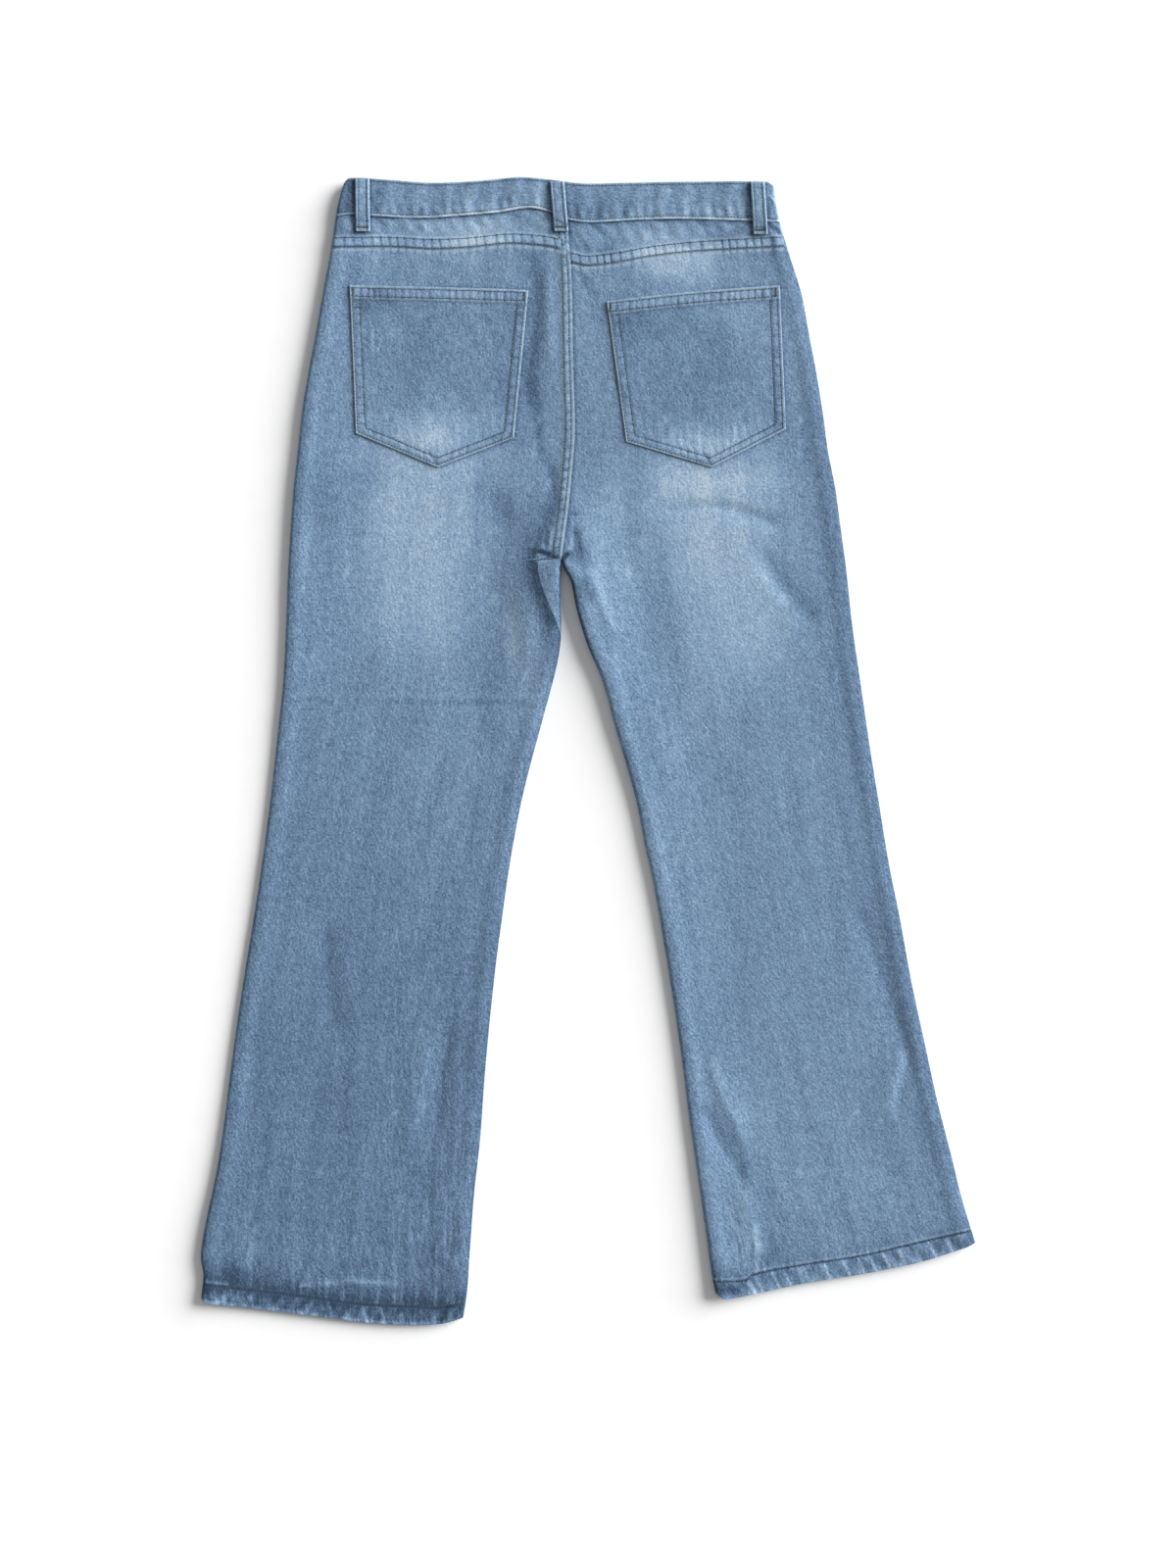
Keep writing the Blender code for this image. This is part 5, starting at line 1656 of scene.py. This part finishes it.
# -------------------------------------------------------------------- materials
def add_node(tree, kind, label, **settings):
    """A shader node with its label and settings."""
    node = tree.nodes.new(kind)
    node.name = node.label = label
    for key, value in settings.items():
        setattr(node, key, value)
    return node


def new_material(name):
    """A material with nodes, its tree and its shader."""
    material = bpy.data.materials.new(name)
    material.use_nodes = True
    return material, material.node_tree, material.node_tree.nodes["Principled BSDF"]


def feed(tree, node, **values):
    """Set or link a node's inputs, named with underscores for spaces."""
    for key, value in values.items():
        socket = node.inputs[int(key[1:]) if key[1:].isdigit() else key.replace("_", " ")]
        if isinstance(value, bpy.types.NodeSocket):
            tree.links.new(value, socket)
        else:
            socket.default_value = value
    return node


def reckon(tree, operation, label, first, second=None, third=None):
    """Result of a sum on values or sockets."""
    node = add_node(tree, "ShaderNodeMath", label, operation=operation)
    for key, value in zip(("_0", "_1", "_2"), (first, second, third)):
        if value is not None:
            feed(tree, node, **{key: value})
    return node.outputs[0]


def speckle(tree, label, kind, scale, detail, dark, light):
    """Place on the object, noise over it, and two tints ramped along the noise."""
    place = add_node(tree, "ShaderNodeTexCoord", "place").outputs["Object"]
    noise_node = add_node(tree, "ShaderNodeTexNoise", label)
    feed(tree, noise_node, Vector=place, Scale=scale, Detail=detail)
    tints = add_node(tree, "ShaderNodeValToRGB", kind + " tints")
    feed(tree, tints, _0=noise_node.outputs["Fac"])
    tints.color_ramp.elements[0].color = (*dark, 1.0)
    tints.color_ramp.elements[1].color = (*light, 1.0)
    return place, noise_node.outputs["Fac"], tints


def pattern(tree, label, vector, scale, stretch, detail, roughness=0.55, lean=0.0):
    """Noise about zero, turned by a lean and then stretched along the weave."""
    mapping = add_node(tree, "ShaderNodeMapping", label + " stretch", vector_type="TEXTURE")
    narrow = tuple(1.0 / part for part in stretch)
    feed(tree, mapping, Vector=vector, Rotation=(0.0, 0.0, lean), Scale=narrow)
    noise_node = add_node(tree, "ShaderNodeTexNoise", label)
    feed(
        tree, noise_node, Vector=mapping.outputs["Vector"], Scale=scale, Detail=detail,
        Roughness=roughness,
    )
    return reckon(tree, "SUBTRACT", label + " about zero", noise_node.outputs["Fac"], 0.5)


def thin_line(tree, label, value, sharp):
    """1 where a pattern crosses zero, falling to 0 close beside it."""
    beside = reckon(tree, "ABSOLUTE", label + " beside", value)
    mask = reckon(tree, "MULTIPLY_ADD", label + " line", beside, -sharp, 1.0)
    return reckon(tree, "MAXIMUM", label + " mask", mask, 0.0)


def between(tree, label, value, most):
    """A value held between 0 and the most that it may be."""
    value = reckon(tree, "MAXIMUM", label + " none", value, 0.0)
    return reckon(tree, "MINIMUM", label + " full", value, most)


def weave_group():
    """Washed denim: grain, slubs, streaks and twill over a tone that carries the wash and the
    painted shade and highlights of the pieces.
    """
    found = bpy.data.node_groups.get("washed_denim")
    if found:
        return found
    colours = bpy.context.scene.jeans_colours
    tree = bpy.data.node_groups.new("washed_denim", "ShaderNodeTree")
    face = tree.interface
    for label, start in (
        ("Tone", 0.0), ("Wear", 0.0), ("Grain", 1.0), ("Slub", 1.0), ("Streak", 1.0),
        ("Mottle", 1.0), ("Scratch", 1.0), ("Fray", 0.0),
    ):
        face.new_socket(label, in_out="INPUT", socket_type="NodeSocketFloat").default_value = start
    face.new_socket("Weave Vector", in_out="INPUT", socket_type="NodeSocketVector")
    face.new_socket("Color", in_out="OUTPUT", socket_type="NodeSocketColor")
    face.new_socket("Roughness", in_out="OUTPUT", socket_type="NodeSocketFloat")
    face.new_socket("Height", in_out="OUTPUT", socket_type="NodeSocketFloat")
    inlet = add_node(tree, "NodeGroupInput", "inlet").outputs
    vector = inlet["Weave Vector"]
    grain = pattern(tree, "grain", vector, 620.0, (1.0, 0.85, 1.0), 2.0, 0.6)
    slub = pattern(tree, "slub", vector, 1.0, (640.0, 95.0, 1.0), 2.0)
    streak = pattern(tree, "streak", vector, 1.0, (62.0, 7.0, 1.0), 3.0)
    lean = radians(34.0)
    twills = pattern(tree, "twill strokes", vector, 1.0, (560.0, 120.0, 1.0), 2.0, 0.6, lean)
    lean = radians(9.0)
    frayed = pattern(tree, "frayed streaks", vector, 1.0, (210.0, 24.0, 1.0), 3.0, 0.6, lean)
    mottle = pattern(tree, "mottle", vector, 95.0, (1.0, 0.7, 1.0), 3.0, 0.6)
    threads = pattern(tree, "yarns", vector, 1.0, (95.0, 13.0, 1.0), 2.0, 0.5, radians(6.0))
    curl = pattern(tree, "curl", vector, 44.0, (1.0, 0.5, 1.0), 1.0)
    where = pattern(tree, "where curled", vector, 22.0, (1.0, 1.0, 1.0), 1.0)
    apart = add_node(tree, "ShaderNodeSeparateXYZ", "weave axes")
    feed(tree, apart, Vector=vector)
    warp = reckon(tree, "MULTIPLY", "warp ribs", apart.outputs["X"], 2 * pi / 0.0011)
    weft = reckon(tree, "MULTIPLY", "weft ribs", apart.outputs["Y"], 2 * pi / 0.0016)
    twill = reckon(tree, "SINE", "twill", reckon(tree, "ADD", "twill lean", warp, weft))
    # The tone holds the wash and also the painted shade and highlights that the pieces put into it.
    total = inlet["Tone"]
    for label, value, amount in (
        ("Grain", grain, 2.5), ("Slub", slub, 1.1), ("Slub", twills, 1.5),
        ("Streak", streak, 0.7), ("Mottle", mottle, 0.3), ("Fray", frayed, 2.2),
        ("Fray", thin_line(tree, "frayed yarns", threads, 22.0), 0.9),
    ):
        part = reckon(tree, "MULTIPLY", label + " amount", value, inlet[label])
        part = reckon(tree, "MULTIPLY", label + " depth", part, amount)
        total = reckon(tree, "ADD", label + " added", total, part)
    ribs = reckon(tree, "MULTIPLY", "twill depth", twill, 0.05)
    total = reckon(tree, "ADD", "twill added", total, ribs)
    thin = thin_line(tree, "curl", curl, 26.0)
    there = reckon(tree, "SUBTRACT", "curl cut", where, 0.13)
    there = between(tree, "curl", reckon(tree, "MULTIPLY", "curl patch", there, 9.0), 1.0)
    curled = reckon(tree, "MULTIPLY", "curled", thin, there)
    scratch = reckon(tree, "MULTIPLY", "scratch", curled, inlet["Scratch"])
    scratch = reckon(tree, "MULTIPLY", "scratch depth", scratch, 0.6)
    total = reckon(tree, "ADD", "scratch added", total, scratch)
    share = reckon(tree, "MULTIPLY_ADD", "tone share", total, 0.4, 0.5)
    tints = add_node(tree, "ShaderNodeValToRGB", "washed tints")
    feed(tree, tints, _0=share)
    stops = tints.color_ramp.elements
    stops[0].color, stops[1].color = (*colours.dark, 1.0), (*colours.bleached, 1.0)
    for place, tint in ((0.3, colours.deep), (0.5, colours.middle), (0.78, colours.pale)):
        stops.new(place).color = (*tint, 1.0)
    rubbed = reckon(tree, "MULTIPLY_ADD", "rubbed grain", grain, 1.6, 0.9)
    rubbed = reckon(tree, "MULTIPLY", "rubbed", rubbed, inlet["Wear"])
    rubbed = between(tree, "rubbed", rubbed, 0.9)
    worn = add_node(tree, "ShaderNodeMix", "worn edges", data_type="RGBA")
    feed(tree, worn, _0=rubbed, _6=tints.outputs["Color"], _7=(*colours.worn, 1.0))
    rough = reckon(tree, "MULTIPLY_ADD", "roughness", grain, 0.25, 0.84)
    height = reckon(tree, "MULTIPLY", "grain height", grain, 1.2)
    for label, value, amount in (("weave", twill, 0.25), ("cloth", slub, 0.6)):
        part = reckon(tree, "MULTIPLY", label + " relief", value, amount)
        height = reckon(tree, "ADD", label + " height", height, part)
    outlet = add_node(tree, "NodeGroupOutput", "outlet")
    feed(tree, outlet, Color=worn.outputs[2], Roughness=rough, Height=height)
    return tree


# Amounts of grain, slub, streak, mottle, scratch; sheen of each kind of denim.
DENIM_KINDS = {
    "denim": (1.0, 1.0, 1.0, 1.0, 1.0, 0.03),
    "denim_faced": (1.0, 0.8, 0.5, 1.0, 0.6, 0.03),
    "denim_trim": (1.0, 1.0, 0.5, 1.1, 1.0, 0.03),
}


def denim(kind):
    """Material of one kind of denim."""
    found = bpy.data.materials.get(kind + "_washed")
    if found:
        return found
    *amounts, sheen = DENIM_KINDS[kind]
    material, tree, shader = new_material(kind + "_washed")
    weave = add_node(tree, "ShaderNodeUVMap", "weave", uv_map="UVMap")
    cloth = add_node(tree, "ShaderNodeGroup", "washed denim", node_tree=weave_group())
    feed(tree, cloth, Weave_Vector=weave.outputs["UV"])
    feed(tree, cloth, **dict(zip(("Grain", "Slub", "Streak", "Mottle", "Scratch"), amounts)))
    for label in ("tone", "wear", "fray"):
        stored = add_node(tree, "ShaderNodeAttribute", label, attribute_name=label)
        feed(tree, cloth, **{label.title(): stored.outputs["Fac"]})
    bump = add_node(tree, "ShaderNodeBump", "weave relief")
    feed(tree, bump, Height=cloth.outputs["Height"], Strength=0.16, Distance=0.00025)
    feed(
        tree, shader, Base_Color=cloth.outputs["Color"], Roughness=cloth.outputs["Roughness"],
        Normal=bump.outputs["Normal"], Specular_IOR_Level=0.18, Sheen_Weight=sheen,
        Sheen_Roughness=0.5, Sheen_Tint=(0.72, 0.84, 1.0, 1.0),
    )
    return material


def thread_material(name, tint):
    """Sewing thread: twisted plies, with colour that varies along the seam."""
    material, tree, shader = new_material(name)
    dark, light = [part * 0.62 for part in tint], [min(part * 1.5, 1.0) for part in tint]
    place, _, tints = speckle(tree, "washed thread", "thread", 180.0, 2.0, dark, light)
    twist = add_node(tree, "ShaderNodeTexWave", "plies", bands_direction="DIAGONAL")
    feed(tree, twist, Vector=place, Scale=900.0, Distortion=1.0)
    stops = tints.color_ramp.elements
    stops[0].position, stops[1].position = 0.3, 0.72
    bump = add_node(tree, "ShaderNodeBump", "ply relief")
    feed(tree, bump, Height=twist.outputs["Fac"], Strength=0.4, Distance=0.0001)
    feed(
        tree, shader, Base_Color=tints.outputs["Color"], Normal=bump.outputs["Normal"],
        Roughness=0.6, Sheen_Weight=0.1,
    )
    return material


def button_metal():
    """Dull copper-grey metal, its colour and roughness varied by a fine noise."""
    metal = bpy.context.scene.jeans_colours.metal
    material, tree, shader = new_material("button_metal_rubbed")
    dull = [part * 0.5 for part in metal]
    _, grain, tints = speckle(tree, "tarnish", "metal", 420.0, 4.0, dull, metal)
    rough = reckon(tree, "MULTIPLY_ADD", "rubbed roughness", grain, 0.3, 0.25)
    bump = add_node(tree, "ShaderNodeBump", "fine pits")
    feed(tree, bump, Height=grain, Strength=0.2, Distance=0.0001)
    feed(
        tree, shader, Base_Color=tints.outputs["Color"], Roughness=rough,
        Normal=bump.outputs["Normal"], Metallic=1.0,
    )
    return material


# ------------------------------------------------------------------------ stage
def make_stage():
    """White floor, soft light from the right and above, and the camera overhead."""
    sizes = bpy.context.scene.jeans_sizes
    scene = bpy.context.scene
    bpy.ops.object.select_all(action="DESELECT")
    bpy.ops.mesh.primitive_plane_add(size=8.0, location=(0.0, 0.0, -0.0002))
    floor = bpy.context.object
    floor.name = floor.data.name = "floor"
    bpy.ops.object.transform_apply(location=True, rotation=True, scale=True)
    paper, tree, shader = new_material("white_paper")
    _, _, tints = speckle(tree, "paper fibre", "paper", 60.0, 3.0, 3 * (0.90,), 3 * (0.93,))
    white = tints.outputs["Color"]
    feed(tree, shader, Base_Color=white, Roughness=0.95, Specular_IOR_Level=0.0)
    floor.data.materials.append(paper)

    world = bpy.data.worlds.new("soft_box")
    scene.world = world
    world.use_nodes = True
    sky = world.node_tree.nodes["Background"]
    sky.inputs["Color"].default_value = (1.0, 1.0, 1.0, 1.0)
    sky.inputs["Strength"].default_value = sizes.fill_light

    lamp = bpy.data.lights.new("key_light", "SUN")
    lamp.energy = sizes.key_light
    lamp.angle = radians(44.0)
    key = bpy.data.objects.new("key_light", lamp)
    scene.collection.objects.link(key)
    height, turn = sizes.key_height, sizes.key_turn
    toward = Vector((cos(height) * cos(turn), cos(height) * sin(turn), sin(height)))
    key.rotation_euler = toward.to_track_quat("Z", "Y").to_euler()

    lens = bpy.data.cameras.new("overhead")
    lens.sensor_width = 36.0
    lens.lens = 36.0 * sizes.camera_height / sizes.view_length
    lens.clip_start, lens.clip_end = 0.05, 50.0
    camera = bpy.data.objects.new("overhead", lens)
    scene.collection.objects.link(camera)
    camera.location = (*VIEW_CENTRE, sizes.camera_height)
    scene.camera = camera
    scene.view_settings.view_transform = "Standard"
    scene.view_settings.look = "None"


# ---------------------------------------------------------------- sizes, colours
# How brightly the stage lights cloth that lies flat.
LIT = 1.17


def tint(red, green, blue):
    """The cloth's own colour, from the colour it has on the lit stage."""
    return tuple(
        ((part / 255 + 0.055) / 1.055) ** 2.4 / LIT for part in (red, green, blue)
    )


def length_of(name, description, value):
    """A size in millimetres."""
    return FloatProperty(
        name=name, description=description, default=value * MM, min=0.0, unit="LENGTH", precision=5
    )


def colour_of(name, description, value):
    """A surface colour."""
    return FloatVectorProperty(
        name=name, description=description, default=value, min=0.0, max=1.0, size=3, subtype="COLOR"
    )


class JeansSizes(bpy.types.PropertyGroup):
    """Sizes of the cloth, the sewing and the view."""

    edge_radius: length_of("Edge Radius", "How tightly the cloth turns at the sides", 3.0)
    fell_width: length_of("Felled Seam", "Width of the felled seams of the seat", 9.0)
    hem_thickness: length_of("Hem Thickness", "Folded cloth in the hems", 2.4)
    waistband_thickness: length_of("Waistband Thickness", "Layers of the waistband", 2.2)
    loop_width: length_of("Loop Width", "Width of a belt loop", 13.5)
    loop_thickness: length_of("Loop Thickness", "Thickness of a belt loop", 1.6)
    stitch_pitch: length_of("Stitch Pitch", "From one stitch to the next", 3.0)
    stitch_length: length_of("Stitch Length", "Length of a stitch", 2.5)
    thread: length_of("Thread", "Thickness of the sewing thread", 0.9)
    camera_height: length_of("Camera Height", "Height of the camera over the cloth", 2400.0)
    view_length: length_of("View Length", "Length of floor that the picture takes in", 1472.0)
    fill_light: FloatProperty(
        name="Fill Light", description="Strength of the light from all round",
        default=0.34, min=0.0,
    )
    key_light: FloatProperty(
        name="Key Light", description="Strength of the low light from the right",
        default=8.5, min=0.0,
    )
    key_height: FloatProperty(
        name="Key Height", description="Angle of the key light over the floor",
        default=radians(17.0), subtype="ANGLE",
    )
    key_turn: FloatProperty(
        name="Key Turn", description="Direction of the key light round the floor",
        default=radians(24.0), subtype="ANGLE",
    )


class JeansColours(bpy.types.PropertyGroup):
    """Colours of the washed denim, the thread and the button."""

    dark: colour_of("Unwashed", "Deepest blue, in the seams", tint(50, 72, 95))
    deep: colour_of("Deep Blue", "Blue of the lower left leg", tint(88, 113, 140))
    middle: colour_of("Middle Blue", "Blue of most of the cloth", tint(112, 140, 171))
    pale: colour_of("Pale Blue", "Blue of the washed thighs", tint(150, 177, 202))
    bleached: colour_of("Bleached", "Lightest yarns", tint(190, 207, 221))
    worn: colour_of("Worn Edge", "Rubbed folds and edges", tint(172, 194, 209))
    thread: colour_of("Thread", "Thread of the seams", tint(74, 94, 96))
    thread_dark: colour_of("Hem Thread", "Thread of the hems", tint(28, 44, 62))
    metal: colour_of("Button Metal", "Metal of the button", (0.42, 0.40, 0.37))


# -------------------------------------------------------------------- operators
# Flat cut of each piece: width and length in metres, and its area in square metres.
CUTS = {
    "back_left": ((0.300, 1.030), 0.262),
    "back_right": ((0.300, 1.030), 0.252),
    "front_left": ((0.300, 1.050), 0.268),
    "front_right": ((0.300, 1.050), 0.258),
    "yoke_left": ((0.235, 0.052), 0.0078),
    "yoke_right": ((0.212, 0.052), 0.0078),
    "waistband_back": ((0.422, 0.040), 0.0152),
    "waistband_front_left": ((0.222, 0.040), 0.0080),
    "waistband_front_right": ((0.205, 0.040), 0.0074),
    "pocket_left": ((0.170, 0.172), 0.0250),
    "pocket_right": ((0.170, 0.172), 0.0240),
    "loop": ((0.0145, 0.055), 0.00073),
}


class JEANS_OT_stage(bpy.types.Operator):
    """Lay the floor and set the light and the camera"""

    bl_idname = "jeans.stage"
    bl_label = "Stage"

    def execute(self, context):
        make_stage()
        return {"FINISHED"}


class JEANS_OT_backs(bpy.types.Operator):
    """Lay the two back panels with their felled centre seam, folds and hems"""

    bl_idname = "jeans.backs"
    bl_label = "Back Panels"

    def execute(self, context):
        make_back(LEFT, "back_left", CUTS["back_left"])
        make_back(RIGHT, "back_right", CUTS["back_right"])
        return {"FINISHED"}


class JEANS_OT_fronts(bpy.types.Operator):
    """Lay the two front panels, flat on the floor"""

    bl_idname = "jeans.fronts"
    bl_label = "Front Panels"

    def execute(self, context):
        make_front(LEFT, "front_left", CUTS["front_left"])
        make_front(RIGHT, "front_right", CUTS["front_right"])
        return {"FINISHED"}


class JEANS_OT_yokes(bpy.types.Operator):
    """Set the two yokes between the panels and the waistband"""

    bl_idname = "jeans.yokes"
    bl_label = "Yokes"

    def execute(self, context):
        make_yoke(LEFT, "yoke_left", CUTS["yoke_left"])
        make_yoke(RIGHT, "yoke_right", CUTS["yoke_right"])
        return {"FINISHED"}


class JEANS_OT_waistband(bpy.types.Operator):
    """Set the waistband across the back and its two front halves"""

    bl_idname = "jeans.waistband"
    bl_label = "Waistband"

    def execute(self, context):
        make_waistband_back(CUTS["waistband_back"])
        make_waistband_front(LEFT, "waistband_front_left", CUTS["waistband_front_left"])
        make_waistband_front(RIGHT, "waistband_front_right", CUTS["waistband_front_right"])
        return {"FINISHED"}


class JEANS_OT_pockets(bpy.types.Operator):
    """Patch the two pockets on the seat"""

    bl_idname = "jeans.pockets"
    bl_label = "Patch Pockets"

    def execute(self, context):
        for node in POCKETS:
            make_pocket(node, CUTS[node])
        return {"FINISHED"}


class JEANS_OT_loops(bpy.types.Operator):
    """Set three belt loops on the back and two on the front"""

    bl_idname = "jeans.loops"
    bl_label = "Belt Loops"

    def execute(self, context):
        for node in BACK_LOOPS:
            make_loop(node, CUTS["loop"], False)
        for node in FRONT_LOOPS:
            make_loop(node, CUTS["loop"], True)
        return {"FINISHED"}


class JEANS_OT_button(bpy.types.Operator):
    """Set the button of the front waistband"""

    bl_idname = "jeans.button"
    bl_label = "Button"

    def execute(self, context):
        make_button("button")
        return {"FINISHED"}


class JEANS_OT_sewing(bpy.types.Operator):
    """Sew the seams, hems, pockets and belt loops"""

    bl_idname = "jeans.sewing"
    bl_label = "Sewing"

    def execute(self, context):
        colours = context.scene.jeans_colours
        olive = thread_material("thread_washed", colours.thread)
        dark = thread_material("thread_hem", colours.thread_dark)
        sew("stitches_yokes", yoke_runs(), olive)
        sew("stitches_centre_seam", centre_runs(), olive)
        sew("stitches_hems", hem_runs(), dark)
        sew("stitches_waistband", band_runs(), olive)
        sew("stitches_waistband_front", front_runs(), olive, face_down=True)
        for node in POCKETS:
            sew("stitches_" + node, pocket_runs(node), olive)
        for node in BACK_LOOPS:
            sew("stitches_" + node, loop_runs(node, False), olive)
        return {"FINISHED"}


class JEANS_PT_panel(bpy.types.Panel):
    """Sizes, colours and the steps that make the jeans"""

    bl_label = "Bootcut Jeans"
    bl_idname = "JEANS_PT_panel"
    bl_space_type = "VIEW_3D"
    bl_region_type = "UI"
    bl_category = "Jeans"

    def draw(self, context):
        layout = self.layout
        for group in (context.scene.jeans_sizes, context.scene.jeans_colours):
            column = layout.column()
            for name in group.__annotations__:
                column.prop(group, name)
        for step in STEPS:
            layout.operator(step.bl_idname)


STEPS = (
    JEANS_OT_stage,
    JEANS_OT_backs,
    JEANS_OT_fronts,
    JEANS_OT_yokes,
    JEANS_OT_waistband,
    JEANS_OT_pockets,
    JEANS_OT_loops,
    JEANS_OT_button,
    JEANS_OT_sewing,
)
CLASSES = (JeansSizes, JeansColours, *STEPS, JEANS_PT_panel)


def register():
    for item in CLASSES:
        bpy.utils.register_class(item)
    bpy.types.Scene.jeans_sizes = PointerProperty(type=JeansSizes)
    bpy.types.Scene.jeans_colours = PointerProperty(type=JeansColours)


def unregister():
    del bpy.types.Scene.jeans_colours
    del bpy.types.Scene.jeans_sizes
    for item in reversed(CLASSES):
        bpy.utils.unregister_class(item)


def main():
    register()
    for step in STEPS:
        group, name = step.bl_idname.split(".")
        getattr(getattr(bpy.ops, group), name)()


if __name__ == "__main__":
    main()
